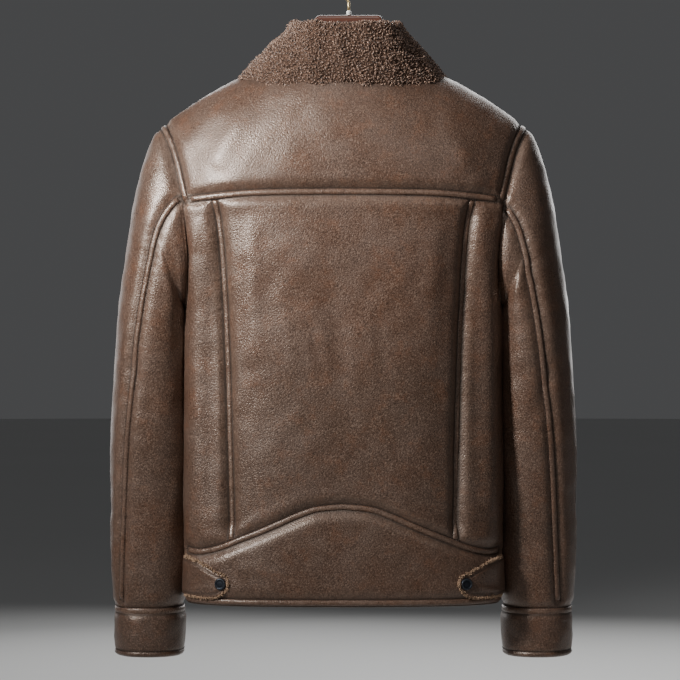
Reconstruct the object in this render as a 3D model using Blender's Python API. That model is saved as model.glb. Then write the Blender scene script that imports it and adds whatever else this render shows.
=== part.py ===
"""A leather coat with a curly-pile collar, hanging on a wooden hanger.

Metres, +Z up. The origin is the inside top of the hanger's hook, where a rail bears. The coat's back faces
+Y, its front -Y, and the wearer's left is +X. Every leather piece is a wall on one of two forms: the torso,
whose level sections are rounded ovals under a sloping shoulder line, and the sleeve, whose rings fan out
round the underarm from the armhole and then hang level.
"""

import math
from collections import namedtuple

import bmesh
import bpy
import numpy as np

# Cloth and making
WALL = 0.0030  # leather bonded to its pile backing
SEAM_GAP = 0.0002  # taken off each edge that meets another piece
ARMHOLE_GAP = 0.0011  # from the body's edge to the sleeve
LAP_GAP = 0.0005  # under a piece that lies on another
STRIP_GAP = 0.0010  # under a strip, which bridges the facets beside its seam
STRIP_WIDTH = 0.0085  # raised strips that cover the seams
STRIP_HEIGHT = 0.0017
STRIP_EDGE = 0.0055  # from a seam's end or edge to the middle of the strip beside it
TAB_WALL = 0.0036
TAB_GAP = 0.0014  # under a tab, which bridges the facets of the band
ARMHOLE_STRIP_GAP = 0.0016
CUFF_PROUD = 0.0012  # how far a cuff stands out from its sleeve

# Main sizes
COAT_SIDE_STEP = 0.007  # the coat hangs this far to the wearer's left of its hook
HEM_Z = -0.828
SHOULDER_TIP_Z = -0.207
UNDERARM_Z = -0.450
NECK_X = 0.083  # where the shoulder line meets the neckline
BAND_CORNER_X = 0.150
CUFF_TOP_Z = -0.8414
CUFF_LOW_Z = -0.9020
PLACKET_HALF = 0.028
FRONT_STUDS = 6
STUD_RADIUS = 0.0085

# Form of the torso's level sections, a rounded oval, and of the roll over the shoulder
OVAL = 2 / 2.8
BACK = 1
FRONT = -1
SHOULDER_ROLL = {BACK: 0.17, FRONT: 0.21}
YOKE_TURN = 78.0  # where the yoke seam meets the armhole, from the shoulder tip
YOKE_ROWS = 6
SIDE_ROWS = 8
FRONT_ROWS = 14
UNDER_ROWS = 4  # of the front's rows, how many lie between the underarm and the sleeve's front seam
SLEEVE_OVAL = 0.88
ARMHOLE_FADE = 3.5  # rings over which the armhole's own outline fades into the sleeve's ovals

COLLAR_WALL = 0.0110
COLLAR_EDGE_WALL = 0.0070
COLLAR_ROLL = 0.0075
COLLAR_NECK_STEP = 0.0048  # from the neckline's edge in to the stand
COLLAR_DROP = 0.005  # how far the stand reaches down inside the neckline
COLLAR_LIFT = 0.0012  # under the collar's outer edge
COLLAR_LEAN = 0.004  # the roll leans this far to the wearer's right
COLLAR_END = 172.0
COLLAR_BELLY = 0.0008  # how full the fall is between roll and edge

WIRE = 0.00175
HOOK_RADIUS = 0.01725
BULB = 0.0033

TINY = 1e-6

Height = namedtuple("Height", "z half_width back_depth front_depth")
TORSO = (
    Height(-0.8280, 0.2075, 0.092, 0.094),
    Height(-0.7000, 0.2075, 0.096, 0.100),
    Height(-0.5500, 0.2060, 0.101, 0.108),
    Height(-0.4500, 0.2075, 0.104, 0.113),
    Height(-0.4300, 0.2145, 0.105, 0.114),
    Height(-0.4000, 0.2258, 0.106, 0.114),
    Height(-0.3600, 0.2345, 0.107, 0.114),
    Height(-0.3035, 0.2408, 0.107, 0.114),
    Height(-0.2695, 0.2439, 0.107, 0.113),
    Height(-0.2390, 0.2493, 0.106, 0.112),
    Height(-0.2070, 0.2596, 0.105, 0.110),
    Height(-0.1200, 0.2640, 0.105, 0.110),
)

Shoulder = namedtuple("Shoulder", "x z")
SHOULDER = (
    Shoulder(0.0000, -0.0960),
    Shoulder(0.0300, -0.0995),
    Shoulder(0.0600, -0.1095),
    Shoulder(0.0830, -0.1201),
    Shoulder(0.1455, -0.1490),
    Shoulder(0.1750, -0.1648),
    Shoulder(0.2130, -0.1872),
    Shoulder(0.2425, -0.2070),
    Shoulder(0.2700, -0.2280),
)

# Round the armhole from the shoulder tip (0) by the back or the front to the underarm (180): how far the
# torso's section has turned from its side there, in degrees
Armhole = namedtuple("Armhole", "around back_turn front_turn")
ARMHOLE = (
    Armhole(0, 24.6, 24.6),
    Armhole(40, 29.0, 31.0),
    Armhole(65, 32.0, 36.0),
    Armhole(80, 34.0, 38.0),
    Armhole(105, 33.0, 36.0),
    Armhole(130, 27.0, 29.0),
    Armhole(150, 19.0, 20.0),
    Armhole(165, 10.5, 11.0),
    Armhole(180, 0.0, 0.0),
)

Seam = namedtuple("Seam", "x z")
YOKE_SEAM = (Seam(0.000, -0.2947), Seam(0.107, -0.2957), Seam(0.160, -0.2988), Seam(0.215, -0.3045))
BAND_TOP = (
    Seam(0.000, -0.6990),
    Seam(0.032, -0.7020),
    Seam(0.061, -0.7115),
    Seam(0.088, -0.7235),
    Seam(0.111, -0.7333),
    Seam(0.137, -0.7435),
    Seam(0.158, -0.7520),
    Seam(0.176, -0.7573),
    Seam(0.190, -0.7595),
    Seam(0.207, -0.7580),
)

PanelSeam = namedtuple("PanelSeam", "z x")
PANEL_SEAM = (
    PanelSeam(-0.7600, 0.1462),
    PanelSeam(-0.6811, 0.1483),
    PanelSeam(-0.5540, 0.1515),
    PanelSeam(-0.4577, 0.1550),
    PanelSeam(-0.3622, 0.1600),
    PanelSeam(-0.2950, 0.1685),
)

# Soft ridges (+) and troughs (-) on the torso, each along a line seen from behind or in front
Fold = namedtuple("Fold", "face top_x top_z low_x low_z half_width height")
FOLDS = (
    Fold(BACK, 0.190, -0.375, 0.192, -0.745, 0.010, 0.0040),
    Fold(BACK, 0.172, -0.360, 0.171, -0.735, 0.008, -0.0030),
    Fold(BACK, -0.188, -0.365, -0.190, -0.745, 0.010, 0.0040),
    Fold(BACK, -0.171, -0.350, -0.170, -0.700, 0.008, -0.0025),
    Fold(BACK, 0.120, -0.320, 0.116, -0.520, 0.014, 0.0025),
    Fold(BACK, -0.118, -0.330, -0.110, -0.480, 0.014, 0.0020),
    Fold(BACK, 0.020, -0.390, -0.012, -0.600, 0.018, -0.0022),
    Fold(FRONT, 0.150, -0.330, 0.135, -0.640, 0.016, 0.0040),
    Fold(FRONT, -0.148, -0.350, -0.138, -0.610, 0.016, 0.0038),
    Fold(FRONT, 0.105, -0.300, 0.095, -0.520, 0.014, -0.0030),
    Fold(FRONT, -0.108, -0.330, -0.090, -0.560, 0.014, -0.0030),
)

# The sleeve's rings: outermost and innermost points seen from behind, middle and half depth front to back,
# and where the back seam lies round the ring (0 outermost, 90 back, 180 innermost)
Ring = namedtuple("Ring", "station outer_x outer_z inner_x inner_z middle_y half_depth seam_turn")
SLEEVE = (
    Ring(0, 0.2425, -0.2070, 0.2075, -0.4500, -0.0015, 0.0680, 78),
    Ring(1, 0.2512, -0.2269, 0.2098, -0.4499, -0.0015, 0.0690, 83),
    Ring(2, 0.2644, -0.2666, 0.2120, -0.4520, -0.0020, 0.0700, 88),
    Ring(3, 0.2730, -0.3062, 0.2133, -0.4570, -0.0030, 0.0705, 84),
    Ring(4, 0.2790, -0.3459, 0.2140, -0.4670, -0.0040, 0.0705, 80),
    Ring(5, 0.2928, -0.4450, 0.2145, -0.4930, -0.0060, 0.0690, 75),
    Ring(6, 0.2995, -0.5245, 0.2140, -0.5400, -0.0100, 0.0650, 68),
    Ring(7, 0.3040, -0.6037, 0.2137, -0.6070, -0.0160, 0.0600, 60),
    Ring(8, 0.3060, -0.6830, 0.2140, -0.6830, -0.0230, 0.0560, 51),
    Ring(9, 0.3060, -0.7600, 0.2145, -0.7600, -0.0290, 0.0525, 46),
    Ring(10, 0.3040, -0.8408, 0.2140, -0.8408, -0.0340, 0.0490, 41),
)
CUFF_CENTRE_X = 0.2578
CUFF_HALF_WIDTH = 0.0452
CUFF_MIDDLE_Y = -0.0345
CUFF_HALF_DEPTH = 0.0490
CUFF_TAPER = 0.975

# Round the neck from the middle of the back (0): the neckline and the collar's outer edge on the torso,
# and the top of the roll between them
Neck = namedtuple("Neck", "around neck_x neck_z roll_x roll_y roll_z edge_x edge_z")
NECK = (
    Neck(0, 0.0000, -0.1320, 0.0000, 0.0720, -0.0715, 0.0000, -0.1580),
    Neck(30, 0.0450, -0.1312, 0.0360, 0.0660, -0.0705, 0.0620, -0.1578),
    Neck(60, 0.0730, -0.1265, 0.0590, 0.0410, -0.0672, 0.1100, -0.1535),
    Neck(90, 0.0830, -0.1201, 0.0665, 0.0020, -0.0625, 0.1350, -0.1440),
    Neck(120, 0.0745, -0.1480, 0.0600, -0.0400, -0.0850, 0.1260, -0.1755),
    Neck(150, 0.0480, -0.1880, 0.0400, -0.0750, -0.1240, 0.0970, -0.2230),
    Neck(172, 0.0160, -0.2050, 0.0150, -0.0960, -0.1640, 0.0620, -0.2600),
)

# The hem tab from its root round the side seam to its rounded tip
Tab = namedtuple("Tab", "x top_z low_z")
TAB = (
    Tab(0.1480, -0.7975, -0.8005),
    Tab(0.1495, -0.7925, -0.8055),
    Tab(0.1540, -0.7885, -0.8105),
    Tab(0.1637, -0.7848, -0.8165),
    Tab(0.1766, -0.7775, -0.8178),
    Tab(0.1898, -0.7712, -0.8178),
    Tab(0.2040, -0.7672, -0.8175),
)
TAB_ROOT_TURN = 0.8
TAB_STUD_X = 0.157
TAB_STUD_Z = -0.7992

Arm = namedtuple("Arm", "x top_z low_z half_thickness")
HANGER = (
    Arm(0.0000, -0.0560, -0.1310, 0.0068),
    Arm(0.0380, -0.0560, -0.1330, 0.0068),
    Arm(0.0435, -0.0590, -0.1345, 0.0068),
    Arm(0.0455, -0.0760, -0.1370, 0.0069),
    Arm(0.0480, -0.1060, -0.1400, 0.0070),
    Arm(0.0550, -0.1340, -0.1480, 0.0072),
    Arm(0.0850, -0.1400, -0.1580, 0.0078),
    Arm(0.1100, -0.1450, -0.1670, 0.0088),
    Arm(0.1455, -0.1595, -0.1850, 0.0108),
    Arm(0.1800, -0.1770, -0.2020, 0.0128),
    Arm(0.2130, -0.1975, -0.2200, 0.0135),
    Arm(0.2230, -0.2065, -0.2190, 0.0100),
)

LEATHER = ("leather", (0.150, 0.098, 0.068, 1), 0.42, 0.0)
LEATHER_TRIM = ("leather trim", (0.185, 0.125, 0.088, 1), 0.38, 0.0)
PILE = ("curly pile", (0.262, 0.150, 0.090, 1), 0.95, 0.0)
STUD = ("gunmetal", (0.030, 0.034, 0.040, 1), 0.35, 1.0)
WOOD = ("lacquered wood", (0.180, 0.055, 0.030, 1), 0.20, 0.0)
BRASS = ("brass", (0.750, 0.560, 0.260, 1), 0.25, 1.0)


def clear_scene():
    for obj in list(bpy.data.objects):
        bpy.data.objects.remove(obj, do_unlink=True)


def through(rows, at):
    """The table's columns at values of its first one, on a smooth curve that never overshoots a row."""
    table = np.array(rows, float)
    key = table[:, 0]
    at = np.asarray(at, float)
    rise = np.diff(table, axis=0) / np.diff(key)[:, None]
    before, after = rise[:-1], rise[1:]
    same_way = before * after > 0
    mean = 2 * before * after / np.where(same_way, before + after, 1)
    slope = np.concatenate([rise[:1], np.where(same_way, mean, 0), rise[-1:]])
    inside = np.clip(at, key[0], key[-1])
    place = np.clip(np.searchsorted(key, inside, side="right") - 1, 0, len(key) - 2)
    width = (key[place + 1] - key[place])[..., None]
    t = (inside - key[place])[..., None] / width
    value = table[place] * (1 + 2 * t) * (1 - t) ** 2 + table[place + 1] * t**2 * (3 - 2 * t)
    value = value + width * (slope[place] * t * (1 - t) ** 2 - slope[place + 1] * t**2 * (1 - t))
    beyond = np.where((at < inside)[..., None], slope[0], slope[-1]) * (at - inside)[..., None]
    return type(rows[0])(*np.moveaxis(value + beyond, -1, 0))


def power(value, exponent):
    return np.sign(value) * np.abs(value) ** exponent


def unit(vectors):
    return vectors / np.linalg.norm(vectors, axis=-1, keepdims=True)


def mirrored(points):
    return points * (-1, 1, 1)


# The torso


def shoulder_z(x):
    return through(SHOULDER, np.abs(x)).z


def half_width(z):
    return through(TORSO, z).half_width


def turn_at(x, z):
    """How far round from the wearer's left side, in radians, the section at height z has this x."""
    share = np.clip(np.abs(x) / half_width(z), 0, 1)
    return np.arccos(np.sign(x) * share ** (1 / OVAL))


def side_x(turn, z):
    return half_width(z) * power(np.cos(turn), OVAL)


def relief(face, x, z):
    """How far the folds stand out at a place on the torso."""
    out = np.zeros(np.broadcast(x, z).shape)
    for fold in FOLDS:
        if fold.face != face:
            continue
        along = np.array((fold.low_x - fold.top_x, fold.low_z - fold.top_z))
        length = np.hypot(*along)
        t = ((x - fold.top_x) * along[0] + (z - fold.top_z) * along[1]) / length**2
        aside = ((x - fold.top_x) * along[1] - (z - fold.top_z) * along[0]) / length
        ends = np.clip(t * (1 - t) * 4, 0, 1) ** 0.7
        out = out + fold.height * ends * np.exp(-((aside / fold.half_width) ** 2))
    return out


def bare_torso(face, turn, z):
    """A point of the torso's plain form. The turn runs from the wearer's left side (0) to the right (pi)."""
    at = through(TORSO, z)
    depth = at.back_depth if face == BACK else at.front_depth
    x = at.half_width * power(np.cos(turn), OVAL)
    fall = (shoulder_z(x) - z) / SHOULDER_ROLL[face]
    arch = np.sign(fall) * np.sqrt(1 - (1 - np.minimum(np.abs(fall), 1)) ** 2)
    y = face * depth * power(np.sin(turn), OVAL) * arch
    return np.stack(np.broadcast_arrays(x, y, z), axis=-1)


def torso(face, turn, z):
    """Points on the torso, folds included, with the outward normals of its plain form."""
    points = bare_torso(face, turn, z)
    across = bare_torso(face, turn + TINY, z) - bare_torso(face, turn - TINY, z)
    along = bare_torso(face, turn, z + TINY) - bare_torso(face, turn, z - TINY)
    normals = unit(np.cross(across, along)) * face
    return points + normals * relief(face, points[..., 0], z)[..., None], normals


def armhole_turn(face, z):
    """Where a panel on the torso ends at its side: the armhole's edge, or the side seam below it."""
    middle = (SHOULDER_TIP_Z + UNDERARM_Z) / 2
    reach = (SHOULDER_TIP_Z - UNDERARM_Z) / 2
    around = np.degrees(np.arccos(np.clip((z - middle) / reach, -1, 1)))
    at = through(ARMHOLE, around)
    return np.radians(at.back_turn if face == BACK else at.front_turn)


def panel(face, columns, rows):
    """A grid on the torso. Each stretch of columns runs between two turns that depend on the height, and
    each stretch of rows between two heights that depend on x, at the shares of the way that it lists."""
    column_of = [(zone, t) for zone, count in columns for t in shares(count, zone is columns[-1][0])]
    row_of = [(zone, t) for zone, steps in rows for t in steps]
    z = np.full((len(row_of), len(column_of)), (HEM_Z + SHOULDER_TIP_Z) / 2)
    for _ in range(16):
        turn = np.stack([zone(t, z[:, j]) for j, (zone, t) in enumerate(column_of)], axis=1)
        x = side_x(turn, z)
        z = np.stack([zone(t, x[i]) for i, (zone, t) in enumerate(row_of)])
    return torso(face, turn, z)


def shares(count, last=True):
    """Even shares of a stretch, leaving out its end unless it is the last one."""
    return np.linspace(0, 1, count + 1)[: count + 1 if last else count]


def armhole_shares(start, end, count):
    """Shares of the height between two places round the armhole, even in angle."""
    level = np.cos(np.radians(np.linspace(start, end, count + 1)))
    return (level - level[0]) / (level[-1] - level[0])


def by_turn(start, end):
    return lambda t, z: start(z) * (1 - t) + end(z) * t


def by_x(start, end):
    return lambda t, z: turn_at(start(z) * (1 - t) + end(z) * t, z)


def across_neck(start, end):
    """Columns under the neckline, closer together toward its sides, between two angles round it."""
    return lambda t, z: turn_at(NECK_X * math.cos(math.radians(start * (1 - t) + end * t)), z)


def by_height(start, end):
    return lambda t, x: start(x) * (1 - t) + end(x) * t


def yoke_z(x):
    return through(YOKE_SEAM, np.abs(x)).z


def band_z(x):
    return through(BAND_TOP, np.abs(x)).z


def panel_x(z):
    return through(PANEL_SEAM, z).x


def top_z(face):
    """The upper edge of a face of the coat: its neckline, then the shoulder line."""
    rows = [row for row in NECK if (row.around <= 90) == (face == BACK) or row.around == 90]
    line = sorted(Seam(row.neck_x, row.neck_z) for row in rows)
    if face == FRONT:
        line.insert(0, Seam(0.0, line[0].z - 0.002))

    def height(x):
        return np.where(np.abs(x) < NECK_X, through(line, np.abs(x)).z, shoulder_z(x))

    return height


# Solids


def finish(name, colour, roughness, metallic):
    material = bpy.data.materials.get(name) or bpy.data.materials.new(name)
    material.use_nodes = True
    shader = material.node_tree.nodes["Principled BSDF"]
    shader.inputs["Base Color"].default_value = colour
    shader.inputs["Roughness"].default_value = roughness
    shader.inputs["Metallic"].default_value = metallic
    return material


def solid(name, points, faces, look, on_coat=True):
    points = np.asarray(points, float) + ((COAT_SIDE_STEP, 0, 0) if on_coat else (0, 0, 0))
    mesh = bpy.data.meshes.new(name)
    mesh.from_pydata(points.tolist(), [], faces)
    built = bmesh.new()
    built.from_mesh(mesh)
    bmesh.ops.recalc_face_normals(built, faces=built.faces)
    built.to_mesh(mesh)
    built.free()
    mesh.shade_smooth()
    mesh.set_sharp_from_angle(angle=math.radians(40))
    mesh.materials.append(finish(*look))
    obj = bpy.data.objects.new(name, mesh)
    bpy.context.scene.collection.objects.link(obj)
    return obj


def grid_faces(rows, columns, start=0, ring=False):
    wide = columns if ring else columns - 1
    return [
        (
            start + i * columns + j,
            start + i * columns + (j + 1) % columns,
            start + (i + 1) * columns + (j + 1) % columns,
            start + (i + 1) * columns + j,
        )
        for i in range(rows - 1)
        for j in range(wide)
    ]


def wall(name, outer, inner, look, ring=False):
    """A wall between two grids of the same shape, closed along its edges."""
    rows, columns = outer.shape[:2]
    far = rows * columns
    points = np.concatenate([outer.reshape(-1, 3), inner.reshape(-1, 3)])
    faces = grid_faces(rows, columns, 0, ring) + [f[::-1] for f in grid_faces(rows, columns, far, ring)]
    border = [[i * columns + j for j in range(columns)] for i in (0, rows - 1)]
    if ring:
        border = [line + line[:1] for line in border]
    else:
        border += [[i * columns + j for i in range(rows)] for j in (0, columns - 1)]
    for line in border:
        faces += [(a, b, b + far, a + far) for a, b in zip(line, line[1:])]
    return solid(name, points, faces, look)


def trimmed(grid, edges="blrt"):
    """The grid with half a seam's gap taken off its edges (bottom, left, right, top)."""
    grid = grid.copy()
    views = {
        "b": (grid[0], grid[1]),
        "t": (grid[-1], grid[-2]),
        "l": (grid[:, 0], grid[:, 1]),
        "r": (grid[:, -1], grid[:, -2]),
    }
    for edge in edges:
        line, beside = views[edge]
        line += unit(beside - line) * SEAM_GAP
    return grid


def panel_wall(name, grid):
    points, normals = grid
    outer = trimmed(points)
    return wall(name, outer, outer - normals * WALL, LEATHER)


def strip(name, middle, normals, closed=False, mirror=False, gap=STRIP_GAP):
    """A raised strip of leather along a line, with a flat underside and bevelled shoulders."""
    if closed:
        ahead = np.roll(middle, -1, axis=0) - np.roll(middle, 1, axis=0)
    else:
        ahead = np.gradient(middle, axis=0)
    aside = unit(np.cross(normals, ahead))
    profile = ((-0.5, 0.0), (-0.27, 1.0), (0.27, 1.0), (0.5, 0.0))
    rings = [
        middle + aside * STRIP_WIDTH * a + normals * (gap + STRIP_HEIGHT * h) for a, h in profile
    ]
    points = np.stack(rings, axis=1)
    if mirror:
        points = mirrored(points)
    count = len(middle)
    faces = grid_faces(count, 4, ring=True)
    if closed:
        last = (count - 1) * 4
        faces += [(last + j, last + (j + 1) % 4, (j + 1) % 4, j) for j in range(4)]
    else:
        faces += [(0, 1, 2, 3), tuple((count - 1) * 4 + j for j in (3, 2, 1, 0))]
    return solid(name, points.reshape(-1, 3), faces, LEATHER_TRIM)


def torso_strip(name, face, x, z, **more):
    points, normals = torso(face, turn_at(x, z), z)
    return strip(name, points, normals, **more)


# Body of the coat


def at_x(x):
    return lambda z: turn_at(x, z)


def level(value):
    return lambda place: np.full(np.shape(place), value)


def make_back():
    def edge(z):
        return armhole_turn(BACK, z)

    def far_edge(z):
        return math.pi - edge(z)

    def far_panel_x(z):
        return -panel_x(z)

    yoke = (
        (by_turn(edge, at_x(NECK_X)), 7),
        (across_neck(0, 180), 10),
        (by_turn(at_x(-NECK_X), far_edge), 7),
    )
    rows = ((by_height(yoke_z, top_z(BACK)), armhole_shares(YOKE_TURN, 0, YOKE_ROWS)),)
    panel_wall("back_yoke", panel(BACK, yoke, rows))
    rows = ((by_height(band_z, yoke_z), shares(14)),)
    panel_wall("back_centre", panel(BACK, ((by_x(panel_x, far_panel_x), 14),), rows))
    rows = (
        (by_height(band_z, level(UNDERARM_Z)), shares(8, False)),
        (by_height(level(UNDERARM_Z), yoke_z), armhole_shares(180, YOKE_TURN, SIDE_ROWS)),
    )
    side = panel(BACK, ((by_turn(edge, lambda z: turn_at(panel_x(z), z)), 7),), rows)
    panel_wall("back_side_left", side)
    right = ((by_turn(lambda z: turn_at(-panel_x(z), z), far_edge), 7),)
    panel_wall("back_side_right", panel(BACK, right, rows))
    band = (
        (by_turn(level(0.0), at_x(BAND_CORNER_X)), 5),
        (by_x(level(BAND_CORNER_X), level(0.0)), 6),
        (by_x(level(0.0), level(-BAND_CORNER_X)), 6),
        (by_turn(at_x(-BAND_CORNER_X), level(math.pi)), 5),
    )
    panel_wall("back_band", panel(BACK, band, ((by_height(level(HEM_Z), band_z), shares(4)),)))


def make_front():
    front_top = top_z(FRONT)
    rows = (
        (by_height(level(HEM_Z), level(UNDERARM_Z)), shares(9, False)),
        (by_height(level(UNDERARM_Z), front_top), armhole_shares(180, 0, FRONT_ROWS)),
    )
    left = (
        (by_turn(lambda z: armhole_turn(FRONT, z), at_x(NECK_X)), 7),
        (across_neck(0, 90), 5),
    )
    right = (
        (across_neck(90, 180), 5),
        (by_turn(at_x(-NECK_X), lambda z: math.pi - armhole_turn(FRONT, z)), 7),
    )
    panel_wall("front_left", panel(FRONT, left, rows))
    panel_wall("front_right", panel(FRONT, right, rows))
    points, normals = panel(FRONT, ((by_x(level(PLACKET_HALF), level(-PLACKET_HALF)), 4),), rows)
    inner = points + normals * LAP_GAP
    wall("front_placket", inner + normals * WALL, inner, LEATHER)
    stud_z = np.linspace(HEM_Z + 0.032, front_top(0.0) - 0.075, FRONT_STUDS)
    places, outward = torso(FRONT, turn_at(0.0, stud_z), stud_z)
    for i in range(FRONT_STUDS):
        base = places[i] + outward[i] * (2 * LAP_GAP + WALL)
        stud(f"front_stud_{i + 1}", base, outward[i])


def make_body_strips():
    reach = side_x(armhole_turn(BACK, -0.304), -0.304) - 2 * STRIP_EDGE
    x = np.linspace(reach, -reach, 23)
    torso_strip("strip_yoke", BACK, x, yoke_z(x))
    x = 0.2015 * np.cos(np.linspace(0, math.pi, 35))
    torso_strip("strip_band", BACK, x, band_z(x))
    for name, way in (("left", 1), ("right", -1)):
        low = band_z(panel_x(-0.745)) + STRIP_EDGE + 0.001
        high = yoke_z(panel_x(-0.3)) - STRIP_EDGE
        z = np.linspace(low, high, 19)
        torso_strip(f"strip_panel_{name}", BACK, panel_x(z) * way, z)
        z = np.full(15, HEM_Z + STRIP_EDGE)
        turn = np.linspace(0.03, 1.0, 15) * turn_at(PLACKET_HALF + 0.002, HEM_Z)
        points, normals = torso(FRONT, turn, z)
        strip(f"strip_hem_{name}", points, normals, mirror=way < 0)
    turn = np.linspace(0.02, math.pi - 0.02, 33)
    points, normals = torso(BACK, turn, np.full(33, HEM_Z + STRIP_EDGE))
    strip("strip_hem_back", points, normals)


def make_tabs():
    """The tabs lie on the hem band, from just round the side seam to a rounded tip held by a stud."""
    columns, rows = 10, 4
    tip = turn_at(TAB[0].x, TAB_STUD_Z)
    steps = 1 - (1 - np.linspace(0, 1, columns + 1)) ** 1.4
    turn = tip + (math.radians(TAB_ROOT_TURN) - tip) * (1 - np.cos(steps * math.pi / 2))
    x = side_x(np.maximum(turn, 0), TAB_STUD_Z)
    edge = through(TAB, np.minimum(x, TAB[-1].x))
    v = np.linspace(0, 1, rows + 1)[:, None]
    z = edge.low_z + (edge.top_z - edge.low_z) * v
    points, normals = torso(BACK, np.broadcast_to(turn, z.shape), z)
    inner = points + normals * TAB_GAP
    outer = inner + normals * TAB_WALL
    middle, outward = torso(BACK, turn_at(TAB_STUD_X, TAB_STUD_Z), TAB_STUD_Z)
    middle = middle + outward * (TAB_GAP + TAB_WALL + LAP_GAP)
    for name, flip in (("left", np.array((1, 1, 1))), ("right", np.array((-1, 1, 1)))):
        wall(f"hem_tab_{name}", outer * flip, inner * flip, LEATHER)
        stud(f"tab_stud_{name}", middle * flip, outward * flip)


def stud(name, base, outward):
    """A press stud's domed cap, turned about its axis."""
    profile = ((1.0, 0.0), (1.0, 0.0012), (0.88, 0.0028), (0.64, 0.0030), (0.58, 0.0026))
    sides = 10
    outward = unit(outward)
    first = unit(np.cross(outward, (0, 0, 1)))
    second = np.cross(outward, first)
    angles = np.linspace(0, 2 * math.pi, sides, endpoint=False)[:, None]
    around = first * np.cos(angles) + second * np.sin(angles)
    rings = [base + around * STUD_RADIUS * r + outward * h for r, h in profile]
    top = base + outward * profile[-1][1]
    points = np.concatenate([*rings, [base], [top]])
    faces = grid_faces(len(profile), sides, ring=True)
    last = (len(profile) - 1) * sides
    centre = len(profile) * sides
    for j in range(sides):
        after = (j + 1) % sides
        faces += [(centre, after, j), (centre + 1, last + j, last + after)]
    return solid(name, points, faces, STUD)


# Sleeves


def armhole(turn):
    """The armhole's edge on the body, its normals there, and the way out of the body across the edge."""
    face_back = np.sin(turn) >= 0
    middle = (SHOULDER_TIP_Z + UNDERARM_Z) / 2
    z = middle + (SHOULDER_TIP_Z - UNDERARM_Z) / 2 * np.cos(turn)
    around = np.degrees(np.arccos(np.clip(np.cos(turn), -1, 1)))
    at = through(ARMHOLE, around)
    back = torso(BACK, np.radians(at.back_turn), z)
    front = torso(FRONT, np.radians(at.front_turn), z)
    points = np.where(face_back[..., None], back[0], front[0])
    normals = np.where(face_back[..., None], back[1], front[1])
    return points, normals


def armhole_way_out(turn):
    """The direction across the armhole's edge, in the body's surface, that leads off the body."""
    points, normals = armhole(turn)
    along = armhole(turn + 0.01)[0] - armhole(turn - 0.01)[0]
    out = unit(np.cross(along, normals))
    centre = np.array((0.225, 0.0, (SHOULDER_TIP_Z + UNDERARM_Z) / 2))
    return out * np.sign(np.sum(out * (centre - points), axis=-1, keepdims=True))


def ring_point(ring, turn):
    reach = power(np.cos(turn), SLEEVE_OVAL)
    x = (ring.outer_x + ring.inner_x) / 2 + (ring.outer_x - ring.inner_x) / 2 * reach
    z = (ring.outer_z + ring.inner_z) / 2 + (ring.outer_z - ring.inner_z) / 2 * reach
    y = ring.middle_y + ring.half_depth * power(np.sin(turn), SLEEVE_OVAL)
    return np.stack([x, y, z], axis=-1)


def sleeve(turn, station):
    fade = np.clip(1 - station / ARMHOLE_FADE, 0, 1)[..., None] ** 2
    own = armhole(turn)[0] - ring_point(through(SLEEVE, 0 * station), turn)
    return ring_point(through(SLEEVE, station), turn) + own * fade


def sleeve_surface(turn, station):
    points = sleeve(turn, station)
    step = 1e-4
    across = sleeve(turn + step, station) - sleeve(turn - step, station)
    along = sleeve(turn, station + step) - sleeve(turn, station - step)
    return points, unit(np.cross(along, across))


def sleeve_wall(name, zones, stations, mirror):
    """One piece of the sleeve: stretches of columns, each between two turns that depend on the station."""
    turns = [zone(t, stations) for zone, count in zones for t in shares(count, zone is zones[-1][0])]
    turn = np.stack(turns, axis=1)
    station = np.broadcast_to(stations[:, None], turn.shape)
    points, normals = sleeve_surface(turn, station)
    edge, body_normals = armhole(turn[0])
    points[0] = edge + armhole_way_out(turn[0]) * ARMHOLE_GAP
    normals[0] = body_normals
    outer = trimmed(points, "lr")
    inner = outer - normals * WALL
    if mirror:
        outer, inner = mirrored(outer), mirrored(inner)
    wall(name, outer, inner, LEATHER)


def back_seam(station):
    return np.radians(through(SLEEVE, station).seam_turn)


def make_sleeves():
    stations = np.concatenate([[0, 0.25, 0.6], np.linspace(1, 5, 7), np.linspace(5.8, 10, 6)])
    front_step = 180 / FRONT_ROWS
    front_seam = math.radians(180 + front_step * UNDER_ROWS)
    top = (
        (by_turn(level(front_seam - 2 * math.pi), level(0.0)), FRONT_ROWS - UNDER_ROWS),
        (by_turn(level(0.0), back_seam), YOKE_ROWS),
    )
    under = (
        (by_turn(back_seam, level(math.pi)), SIDE_ROWS),
        (by_turn(level(math.pi), level(front_seam)), UNDER_ROWS),
    )
    around = np.concatenate(
        [
            np.linspace(0, YOKE_TURN, YOKE_ROWS + 1)[:-1],
            np.linspace(YOKE_TURN, 180, SIDE_ROWS + 1)[:-1],
            np.linspace(180, 360, FRONT_ROWS + 1)[:-1],
        ]
    )
    for name, mirror in (("left", False), ("right", True)):
        sleeve_wall(f"top_sleeve_{name}", top, stations, mirror)
        sleeve_wall(f"under_sleeve_{name}", under, stations, mirror)
        station = np.linspace(0.35, 9.75, 22)
        points, normals = sleeve_surface(back_seam(station), station)
        strip(f"strip_sleeve_{name}", points, normals, mirror=mirror)
        middle, outward = armhole_strip_line(np.radians(around))
        strip(f"strip_armhole_{name}", middle, outward, True, mirror, ARMHOLE_STRIP_GAP)
        make_cuff(name, mirror)


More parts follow.
